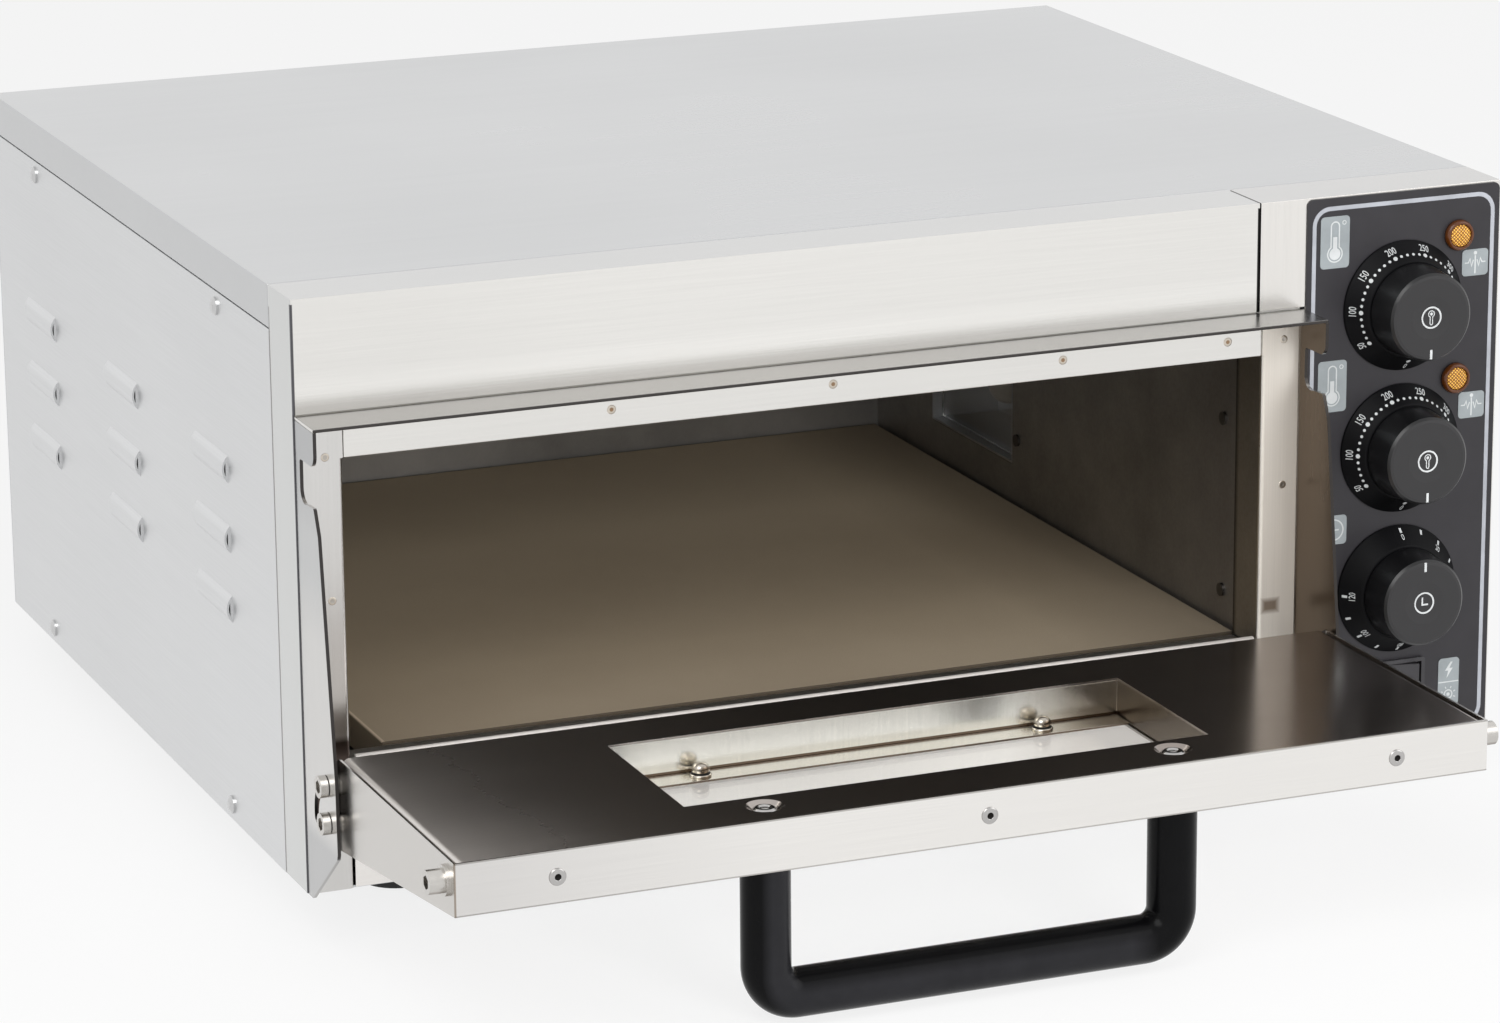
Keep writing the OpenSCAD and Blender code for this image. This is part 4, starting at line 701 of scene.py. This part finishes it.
def bridge(bm, first, second, smooth=False, mat=0):
    # Faces between two rings of points; a ring of one point closes like a cone
    count = max(len(first), len(second))
    for i in range(count):
        j = (i + 1) % count
        out = [ring[i % len(ring)] for ring in (first, second)]
        home = [ring[j % len(ring)] for ring in (second, first)]
        face = bm.faces.new(list(dict.fromkeys(out + home)))
        face.smooth = smooth
        face.material_index = mat


def addRing(bm, x, y, z, r, spokes):
    turns = [2 * math.pi * s / spokes for s in range(spokes)]
    return [bm.verts.new(at(x + r * math.cos(a), y, z + r * math.sin(a))) for a in turns]


def closeBelow(bm, rim, deep, mat=0):
    # A wall back from the rim to a flat underside
    low = [bm.verts.new(v.co + Vector((0, deep, 0)) / 1000) for v in rim]
    bridge(bm, rim, low, mat=mat)
    bm.faces.new(low).material_index = mat


def addPrism(bm, points, near, far):
    # A flat outline in X and Z, from depth far up to depth near
    low = [bm.verts.new(at(x, far, z)) for x, z in points]
    top = [bm.verts.new(at(x, near, z)) for x, z in points]
    bm.faces.new(top)
    bm.faces.new(list(reversed(low)))
    bridge(bm, top, low)


def addStroke(bm, points, width, near, far, closed=False):
    # A line of even width along the points
    n = len(points)
    sides = [[], []]
    for i, (x, z) in enumerate(points):
        here = Vector((x, z))
        before = Vector(points[i - 1]) if closed or i else None
        after = Vector(points[(i + 1) % n]) if closed or i < n - 1 else None
        d0 = (here - before).normalized() if before is not None else (after - here).normalized()
        d1 = (after - here).normalized() if after is not None else d0
        mid = (d0 + d1).normalized()
        reach = width / 2 / max(0.5, mid.dot(d0))  # sharp bends are cut short
        across = Vector((-mid.y, mid.x)) * reach
        sides[0].append(here + across)
        sides[1].append(here - across)
    lf, lb, rf, rb = [[bm.verts.new(at(p.x, y, p.y)) for p in row] for row in sides for y in (near, far)]
    for i in range(n if closed else n - 1):
        j = (i + 1) % n
        bm.faces.new((lf[i], lf[j], rf[j], rf[i]))
        bm.faces.new((lb[j], lb[i], rb[i], rb[j]))
        bm.faces.new((lf[j], lf[i], lb[i], lb[j]))
        bm.faces.new((rf[i], rf[j], rb[j], rb[i]))
    if not closed:
        bm.faces.new((lf[0], rf[0], rb[0], lb[0]))
        bm.faces.new((lf[-1], lb[-1], rb[-1], rf[-1]))


def circle(cx, cz, r, n=24, a0=0, a1=360):
    steps = n if abs(a1 - a0) >= 360 else n + 1
    turns = [math.radians(a0 + (a1 - a0) * i / n) for i in range(steps)]
    return [(cx + r * math.cos(a), cz + r * math.sin(a)) for a in turns]


def roundedLoop(x0, z0, x1, z1, r, n=8):
    points = []
    middles = (x1 - r, z1 - r), (x0 + r, z1 - r), (x0 + r, z0 + r), (x1 - r, z0 + r)
    for i, (cx, cz) in enumerate(middles):
        points += circle(cx, cz, r, n, 90 * i, 90 * (i + 1))
    return points


def shifted(points, cx, cz):
    return [(cx + x, cz + z) for x, z in points]


panel = {
    "left": 463.8, "bottom": 0.8, "right": 559.2, "top": 254.2,
    "middle": 511.5,
    "face": -0.8,
    "dials": (203.0, 138.0, 73.0),  # heights of the dials' middles
    "plates": -1.05,  # face of the icon plates
    "ink": 0.08, "sunk": 0.05,  # prints stand off the face and reach into it
    "line": 1.9, "lineInset": (3.4, 4.6), "lineCorner": 7.5,
    "thermometer": (-34.2, 31.4), "waves": (36, 15.9), "clock": (-32.0, 30.4),  # from the dial's middle
    "switchSigns": 28.2, "lightning": 31.2, "lamp": 19.6,
    "divider": (23.1, 33.3), "dividerHeight": 25.5, "dividerLine": 0.5,
}
px = panel["middle"]

border = bmesh.new()
ix, iz = panel["lineInset"]
borderLoop = roundedLoop(panel["left"] + ix, panel["bottom"] + iz, panel["right"] - ix, panel["top"] - iz,
                         panel["lineCorner"])
addStroke(border, borderLoop, panel["line"], panel["face"] - panel["ink"], panel["face"] + panel["sunk"],
          closed=True)
addPiece("panel_border", border, "oven", "icon_grey", "borderPrint")

thermometerSign = {
    "tube": 2.0, "tubeTop": 7.2, "bulb": 3.6, "bulbHeight": -5.2, "line": 0.55,
    "fill": 2.7, "fillGap": 22, "fillHalf": 1.0, "fillTop": 2.4,
    "degreeX": 4.4, "degreeZ": 8.6, "degreeRing": 0.85, "degreeLine": 0.35,
}


def thermometer(bm, cx, cz, near, far):
    sign = thermometerSign
    low = cz + sign["bulbHeight"]
    rise = math.degrees(math.asin(sign["tube"] / sign["bulb"]))
    bulb = circle(cx, low, sign["bulb"], 20, 90 + rise, 450 - rise)
    addStroke(bm, bulb + circle(cx, cz + sign["tubeTop"], sign["tube"], 8, 0, 180), sign["line"], near, far,
              closed=True)
    fill = circle(cx, low, sign["fill"], 18, 90 + sign["fillGap"], 450 - sign["fillGap"])
    column = [(sign["fillHalf"], sign["fillTop"]), (-sign["fillHalf"], sign["fillTop"])]
    addPrism(bm, fill + shifted(column, cx, cz), near, far)
    degree = circle(cx + sign["degreeX"], cz + sign["degreeZ"], sign["degreeRing"], 14)
    addStroke(bm, degree, sign["degreeLine"], near, far, closed=True)


waveSign = {
    "wave": [(-5.2, 0), (-3.4, 0), (-2.6, 1.8), (-1.8, -1.6), (-0.9, 1.2)], "line": 0.5,
    "stem": [(0, -5.0), (0, 3.2)], "stemLine": 0.6,
    "headHeight": 4.3, "head": 0.85,
}


def waves(bm, cx, cz, near, far):
    mirrored = [(-x, z) for x, z in reversed(waveSign["wave"])]
    addStroke(bm, shifted(waveSign["wave"], cx, cz), waveSign["line"], near, far)
    addStroke(bm, shifted(mirrored, cx, cz), waveSign["line"], near, far)
    addStroke(bm, shifted(waveSign["stem"], cx, cz), waveSign["stemLine"], near, far)
    addPrism(bm, circle(cx, cz + waveSign["headHeight"], waveSign["head"], 14), near, far)


clockSign = {
    "ring": 4.7, "line": 0.6,
    "hands": [(0, 3.4), (0, 0), (2.6, 0)],
    "arrow": [(-4.0, 0.9), (-4.0, -0.9), (-1.4, 0)],
}


def clock(bm, cx, cz, near, far):
    addStroke(bm, circle(cx, cz, clockSign["ring"], 28), clockSign["line"], near, far, closed=True)
    addStroke(bm, shifted(clockSign["hands"], cx, cz), clockSign["line"], near, far)
    addPrism(bm, shifted(clockSign["arrow"], cx, cz), near, far)


bolt = [(0.9, 3.6), (-1.9, -0.4), (-0.2, -0.4), (-1.0, -3.8), (2.0, 0.7), (0.3, 0.7), (1.9, 3.6)]


def lightning(bm, cx, cz, near, far):
    addPrism(bm, shifted(bolt, cx, cz), near, far)


lampSign = {"ring": 2.0, "line": 0.55, "dot": 0.8, "rays": 8, "ray": (2.9, 3.9), "rayLine": 0.45}


def lamp(bm, cx, cz, near, far):
    addStroke(bm, circle(cx, cz, lampSign["ring"], 20), lampSign["line"], near, far, closed=True)
    addPrism(bm, circle(cx, cz, lampSign["dot"], 14), near, far)
    step = 360 / lampSign["rays"]
    for i in range(lampSign["rays"]):
        a = math.radians(step * (i + 0.5))
        ray = [(cx + r * math.cos(a), cz + r * math.sin(a)) for r in lampSign["ray"]]
        addStroke(bm, ray, lampSign["rayLine"], near, far)


def besideDial(sign, z):
    dx, dz = panel[sign]
    return px + dx, z + dz


signs = bmesh.new()
depths = panel["plates"] - panel["ink"], panel["plates"] + panel["sunk"]
for z in panel["dials"][:2]:
    thermometer(signs, *besideDial("thermometer", z), *depths)
    waves(signs, *besideDial("waves", z), *depths)
clock(signs, *besideDial("clock", panel["dials"][2]), *depths)
lightning(signs, px + panel["switchSigns"], panel["lightning"], *depths)
lamp(signs, px + panel["switchSigns"], panel["lamp"], *depths)
divider = [(px + x, panel["dividerHeight"]) for x in panel["divider"]]
addStroke(signs, divider, panel["dividerLine"], *depths)
addPiece("panel_signs", signs, "oven", "icon_grey", "printWhite")

skirt = {  # the dial scales are laid on the sloping skirts
    "outer": 29.3, "outerHeight": 1.2,
    "inner": 22.0, "innerHeight": 9.0,
    "dotRow": 24.1, "bigDot": 1.0, "smallDot": 0.66,
    "numberRow": 26.7, "numberSize": 5.0, "narrow": 0.66,
    "zero": 270, "first": 215.5, "step": -35.7, "numbers": 7, "degrees": 50, "dotsPerStep": 5,
    "tickRow": 27.4, "tickLong": 2.5, "tickWide": 1.1, "ticks": 13, "tickStep": -22.5,
    "timerNumberRow": 24.9, "timerNumberSize": 4.4, "timerNumbers": 7, "minutes": 20,
    "inkTop": 0.08, "inkLow": -0.04, "textLift": 0.02, "textThick": 0.06,
}
slopeRun = skirt["outer"] - skirt["inner"]
slopeRise = skirt["innerHeight"] - skirt["outerHeight"]
slopeLength = math.hypot(slopeRun, slopeRise)


def onSkirt(dialZ, angle, row, across, along, lift):
    # across runs clockwise, along runs outwards up the text, lift stands off the slope
    r = row + along * slopeRun / slopeLength + lift * slopeRise / slopeLength
    h = skirt["outerHeight"] + (skirt["outer"] - row) * slopeRise / slopeRun
    h += -along * slopeRise / slopeLength + lift * slopeRun / slopeLength
    a = math.radians(angle) - across / row
    return at(px + r * math.cos(a), panel["face"] - h, dialZ + r * math.sin(a))


def textShape(body, size):
    curve = bpy.data.curves.new("number", "FONT")
    curve.body = body
    curve.size = size
    curve.extrude = skirt["textThick"]
    curve.align_x = "CENTER"
    curve.align_y = "CENTER"
    curve.resolution_u = 3
    obj = bpy.data.objects.new("number", curve)
    scene.collection.objects.link(obj)
    shape = bpy.data.meshes.new_from_object(obj.evaluated_get(bpy.context.evaluated_depsgraph_get()))
    bpy.data.objects.remove(obj)
    return shape


def addNumber(bm, number, dialZ, angle, row, size):
    shape = textShape(str(number), size)
    spots = [(v.co.x * skirt["narrow"], v.co.y, v.co.z + skirt["textLift"]) for v in shape.vertices]
    verts = [bm.verts.new(onSkirt(dialZ, angle, row, *spot)) for spot in spots]
    for poly in shape.polygons:
        bm.faces.new([verts[i] for i in poly.vertices])
    bpy.data.meshes.remove(shape)


def addMark(bm, outline, dialZ, angle, row):
    # The outline's points lie across and along the slope
    low, top = [[bm.verts.new(onSkirt(dialZ, angle, row, u, v, lift)) for u, v in outline]
                for lift in (skirt["inkLow"], skirt["inkTop"])]
    bm.faces.new(top)
    bm.faces.new(list(reversed(low)))
    bridge(bm, top, low)


def thermostatScale(name, dialZ):
    bm = bmesh.new()
    bigDot, smallDot = [circle(0, 0, skirt[key], 14) for key in ("bigDot", "smallDot")]
    addNumber(bm, 0, dialZ, skirt["zero"], skirt["numberRow"], skirt["numberSize"])
    addMark(bm, bigDot, dialZ, skirt["zero"], skirt["dotRow"])
    for i in range(skirt["numbers"]):
        angle = skirt["first"] + skirt["step"] * i
        addNumber(bm, skirt["degrees"] * (i + 1), dialZ, angle, skirt["numberRow"], skirt["numberSize"])
    for i in range((skirt["numbers"] - 1) * skirt["dotsPerStep"] + 1):
        angle = skirt["first"] + skirt["step"] * i / skirt["dotsPerStep"]
        addMark(bm, smallDot if i % skirt["dotsPerStep"] else bigDot, dialZ, angle, skirt["dotRow"])
    addPiece(name, bm, "oven", "icon_grey", "printWhite")


def timerScale(name, dialZ):
    bm = bmesh.new()
    w, l = skirt["tickWide"] / 2, skirt["tickLong"] / 2
    for i in range(skirt["ticks"]):
        addMark(bm, [(-w, -l), (w, -l), (w, l), (-w, l)], dialZ, 90 + skirt["tickStep"] * i, skirt["tickRow"])
    for i in range(skirt["timerNumbers"]):
        addNumber(bm, skirt["minutes"] * i, dialZ, 90 + 2 * skirt["tickStep"] * i,
                  skirt["timerNumberRow"], skirt["timerNumberSize"])
    addPiece(name, bm, "oven", "icon_grey", "printWhite")


thermostatScale("upper_dial_scale", panel["dials"][0])
thermostatScale("lower_dial_scale", panel["dials"][1])
timerScale("timer_dial_scale", panel["dials"][2])

knob = {
    "face": -27.8, "dish": 0.7, "dishEdge": 9.6,  # depth and radius of the hollow in the face
    "ring": 4.6, "ringLine": 0.75,
    "hands": [(-0.9, 2.6), (-0.9, -0.8), (2.0, -0.8)], "handLine": 0.75,
    "bulb": 1.45, "bulbHeight": -1.6, "bulbGap": 25, "fill": 0.7,
    "tube": 0.62, "tubeTop": 2.6, "tubeLine": 0.4,
    "pointer": (14.4, 18.6), "pointerWide": 1.15, "pointerInk": 0.06, "pointerSunk": 0.4,
}


def turned(points, angle, cx, cz):
    c, s = math.cos(math.radians(angle)), math.sin(math.radians(angle))
    return [(cx + x * c - z * s, cz + x * s + z * c) for x, z in points]


def layOnDish(bm, cx, dialZ):
    # Moves flat signs back onto the hollow face
    ball = (knob["dishEdge"] ** 2 + knob["dish"] ** 2) / (2 * knob["dish"])
    middle = at(cx, 0, dialZ)
    for v in bm.verts:
        r = math.hypot(v.co.x - middle.x, v.co.z - middle.z) * 1000
        v.co.y += (knob["dish"] - ball + math.sqrt(ball ** 2 - r ** 2)) / 1000


def knobPrint(name, body, dialZ, pointer, timer):
    bm = bmesh.new()
    near, far = knob["face"] - panel["ink"], knob["face"] + panel["sunk"]
    turn = pointer - 90
    addStroke(bm, circle(px, dialZ, knob["ring"], 36), knob["ringLine"], near, far, closed=True)
    if timer:
        addStroke(bm, turned(knob["hands"], turn, px, dialZ), knob["handLine"], near, far)
    else:
        bulb = circle(0, knob["bulbHeight"], knob["bulb"], 16, 90 + knob["bulbGap"], 450 - knob["bulbGap"])
        outline = bulb + circle(0, knob["tubeTop"], knob["tube"], 6, 0, 180)
        addStroke(bm, turned(outline, turn, px, dialZ), knob["tubeLine"], near, far, closed=True)
        addPrism(bm, turned(circle(0, knob["bulbHeight"], knob["fill"], 12), turn, px, dialZ), near, far)
    layOnDish(bm, px, dialZ)
    r0, r1 = knob["pointer"]
    w = knob["pointerWide"] / 2
    mark = turned([(-w, r0), (w, r0), (w, r1), (-w, r1)], turn, px, dialZ)
    addPrism(bm, mark, knob["face"] - knob["pointerInk"], knob["face"] + knob["pointerSunk"])
    addPiece(name, bm, body, "icon_grey", "printWhite")


knobPrint("upper_knob_sign", "upper_thermostat_knob", panel["dials"][0], 270, False)
knobPrint("lower_knob_sign", "lower_thermostat_knob", panel["dials"][1], 270, False)
knobPrint("timer_knob_sign", "timer_knob", panel["dials"][2], 90, True)

pilot = {
    "dx": 27.3, "dz": 29.1,  # from the dial's middle
    "lensR": 4.9, "lensSunk": 0.7, "lensDeep": 2.2, "dome": 0.7, "rings": 14, "spokes": 64,
    "facet": 1.05, "cut": 0.28,
    "rimTop": 3.0, "rimSpokes": 48,
    "rim": [(5.1, 0.5), (5.4, 0.1), (5.8, 0), (6.3, 0.25), (6.8, 1.0), (7.0, 1.9)],  # radius, depth
}


def lensMesh(bm, cx, cz):
    # A dome of small pyramids, smooth round its edge
    base = panel["face"] - pilot["rimTop"] + pilot["lensSunk"]
    last = [bm.verts.new(at(cx, base - pilot["dome"], cz))]
    for k in range(1, pilot["rings"] + 1):
        share = k / pilot["rings"]
        row = []
        for x, z in circle(0, 0, pilot["lensR"] * share, pilot["spokes"]):
            u, v = (x + z) / pilot["facet"], (x - z) / pilot["facet"]
            hill = 1 - min(abs(u % 1 - 0.5), abs(v % 1 - 0.5)) * 2 if share < 1 else 0
            y = base - pilot["dome"] * (1 - share ** 2) - pilot["cut"] * hill
            row.append(bm.verts.new(at(cx + x, y, cz + z)))
        bridge(bm, last, row)
        last = row
    closeBelow(bm, last, pilot["lensDeep"])


def rimMesh(bm, cx, cz):
    top, foot = panel["face"] - pilot["rimTop"], panel["face"] + panel["sunk"]
    profile = [(r, top + h) for r, h in pilot["rim"]]
    profile = [(profile[0][0], foot)] + profile + [(profile[-1][0], foot)]
    rows = [addRing(bm, cx, y, cz, r, pilot["rimSpokes"]) for r, y in profile]
    for i, row in enumerate(rows):
        bridge(bm, row, rows[(i + 1) % len(rows)])


lenses, rims = bmesh.new(), bmesh.new()
for z in panel["dials"][:2]:
    lensMesh(lenses, px + pilot["dx"], z + pilot["dz"])
    rimMesh(rims, px + pilot["dx"], z + pilot["dz"])
lensPiece = addPiece("pilot_lenses_cut", lenses, "oven", "amber_lens", "amberLens")
rimPiece = addPiece("pilot_rims_round", rims, "oven", "amber_lens", "amberRim")
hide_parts("pilot_lamp_lenses")
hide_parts("pilot_lamp_rims")
for face in rimPiece.data.polygons:
    face.use_smooth = True

welds = {  # spot welds on the strips round the mouth, with the radii of core and halo
    "visor": [(138.5, 194.5), (239, 195), (346.6, 194.5), (426, 194.5)], "visorRadii": (0.9, 2.0),
    "strips": [(12.9, 187.5), (14.3, 126), (453.5, 193), (454, 127)], "stripRadii": (1.0, 1.8),
    "profile": [(0, 0.6, 0.05), (0, 1.0, 0.10), (1, 0.8, 0.06), (1, 1.0, 0.0)],  # core or halo, share, height
    "stand": 0.01, "deep": 0.06, "spokes": 20,
}


def weldMesh(bm, x, z, radii):
    last = [bm.verts.new(at(x, -welds["stand"], z))]
    for zoneIndex, share, high in welds["profile"]:
        row = addRing(bm, x, -welds["stand"] - high, z, radii[zoneIndex] * share, welds["spokes"])
        bridge(bm, last, row, smooth=True, mat=zoneIndex)
        last = row
    closeBelow(bm, last, welds["deep"], mat=1)


spots = bmesh.new()
for x, z in welds["visor"]:
    weldMesh(spots, x, z, welds["visorRadii"])
addPiece("visor_welds", spots, "oven", "polished_steel", "weldBrown", "weldHalo")
spots = bmesh.new()
for x, z in welds["strips"]:
    weldMesh(spots, x, z, welds["stripRadii"])
addPiece("strip_welds", spots, "oven", "polished_steel", "weldGrey", "weldHalo")


# turned fasteners on the door: each profile gives radius and height along the axis, dark lists its steps
# painted black as shade

def addTurned(bm, place, axis, profile, dark, spokes=48):
    side = Vector(axis).orthogonal().normalized()
    other = Vector(axis).cross(side)
    last = None
    for k, (r, h) in enumerate(profile):
        middle = Vector(place) + Vector(axis) * h
        turns = [2 * math.pi * i / spokes for i in range(spokes if r else 1)]
        row = [bm.verts.new(at(*(middle + (side * math.cos(a) + other * math.sin(a)) * r))) for a in turns]
        if last:
            bridge(bm, last, row, smooth=True, mat=1 if k in dark else 0)
        last = row


def turnedHeads(name, spec, axis, *mats):
    heads = bmesh.new()
    for place in spec["places"]:
        addTurned(heads, place, axis, spec["profile"], spec["dark"])
    return addPiece(name, heads, "door", "polished_steel", *mats)


rivet = {
    "places": [(46.75, -176, 58), (231.75, -176, 58), (416.75, -176, 58)],
    "profile": [(0, 0.2), (1.2, 0.2), (1.35, 0.75), (1.7, 0.9), (2.1, 0.72), (2.8, 0.72), (3.3, 0.62),
                (3.6, 0.25), (3.6, 0.0), (1.6, 0.0), (1.6, -3.5), (0, -3.5)],
    "dark": (1, 2),
}
rivetPiece = turnedHeads("door_rivet_heads", rivet, front, "rivetSteel", "paintedShadeBlack")
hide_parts("door_rivets")

handleScrew = {
    "places": [(141.25, -158.5, 67), (322.25, -158.5, 67)],
    "profile": [(0, 1.1), (1.5, 1.15), (1.7, 0.9), (2.3, 0.9), (2.5, 1.35), (3.1, 1.6), (3.9, 1.45),
                (4.5, 1.0), (5.0, 0.75), (5.0, 0), (3.0, 0), (3.0, -44), (0, -44)],
    "dark": (3, 6),
}
screwPiece = turnedHeads("handle_screw_heads", handleScrew, up, "rivetSteel", "paintedShadeBlack")
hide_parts("handle_screws")

retainerNut = {
    "places": [(149.75, -67.9, 53), (305.75, -67.9, 53), (149.75, -140.1, 53), (305.75, -140.1, 53)],
    "profile": [(0, 0), (4.7, 0), (4.7, 0.7), (4.2, 1.1), (3.4, 1.3), (3.5, 1.9), (3.75, 2.7), (3.7, 3.6),
                (3.2, 4.6), (2.2, 5.4), (1.0, 5.8), (0, 5.9)],
    "dark": (4, 5),
}
nutPiece = turnedHeads("retainer_nuts_domed", retainerNut, up, "nutSteel", "paintedShadeBlack")
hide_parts("retainer_nuts")
print("pieces made")

studio = {
    "floorGrey": 0.86, "floorRough": 0.9, "floorGlow": 0.8, "floorHalf": 12,
    "worldLight": 0.44, "worldSeen": 1.0,  # strength as a light, and where it is seen or mirrored
}


def seenNode(tree):
    # 1 for rays that show a thing straight, mirrored or through glass
    rays = addNode(tree, "ShaderNodeLightPath")
    seen = mathNode(tree, "MAXIMUM", rays.outputs["Is Camera Ray"], rays.outputs["Is Glossy Ray"])
    return mathNode(tree, "MAXIMUM", seen, rays.outputs["Is Transmission Ray"])


def makeFloor():
    mat = bpy.data.materials.new("paleFloor")
    mat.use_nodes = True
    tree = mat.node_tree
    shader = tree.nodes["Principled BSDF"]
    shader.inputs["Base Color"].default_value = (*grey(studio["floorGrey"]), 1)
    shader.inputs["Roughness"].default_value = studio["floorRough"]
    glow = addNode(tree, "ShaderNodeEmission")
    glow.inputs["Color"].default_value = (1, 1, 1, 1)
    mix = addNode(tree, "ShaderNodeMixShader")
    tree.links.new(mathNode(tree, "MULTIPLY", seenNode(tree), studio["floorGlow"]), mix.inputs[0])
    tree.links.new(shader.outputs[0], mix.inputs[1])
    tree.links.new(glow.outputs[0], mix.inputs[2])
    tree.links.new(mix.outputs[0], tree.nodes["Material Output"].inputs["Surface"])
    bm = bmesh.new()
    bmesh.ops.create_grid(bm, x_segments=1, y_segments=1, size=studio["floorHalf"])
    mesh = bpy.data.meshes.new("floor")
    bm.to_mesh(mesh)
    bm.free()
    mesh.materials.append(mat)
    floor = bpy.data.objects.new("floor", mesh)
    scene.collection.objects.link(floor)


makeFloor()

world = bpy.data.worlds.new("studio")
scene.world = world
world.use_nodes = True
worldTree = world.node_tree
background = worldTree.nodes["Background"]
level = rangeNode(worldTree, seenNode(worldTree), 0, 1, studio["worldLight"], studio["worldSeen"])
worldTree.links.new(level, background.inputs["Strength"])
background.inputs["Color"].default_value = (1, 1, 1, 1)

lights = {
    "key": {"place": (-1.4, -1.6, 2.2), "aim": (0, -0.05, 0.15), "size": 1.8, "power": 32},
    "fill": {"place": (1.9, -1.6, 1.5), "aim": (0, 0, 0.1), "size": 1.8, "power": 14},
    "front": {"place": (0.1, -2.9, 0.9), "aim": (0, 0, 0.12), "size": 1.0, "power": 60, "mirrored": False},
}
for name, spec in lights.items():
    data = bpy.data.lights.new(name, "AREA")
    data.size = spec["size"]
    data.energy = spec["power"]
    light = bpy.data.objects.new(name, data)
    light.visible_glossy = spec.get("mirrored", True)
    light.location = spec["place"]
    light.rotation_euler = (Vector(spec["aim"]) - Vector(spec["place"])).to_track_quat("-Z", "Y").to_euler()
    scene.collection.objects.link(light)
scene.view_settings.view_transform = "Standard"
print("stage lit")
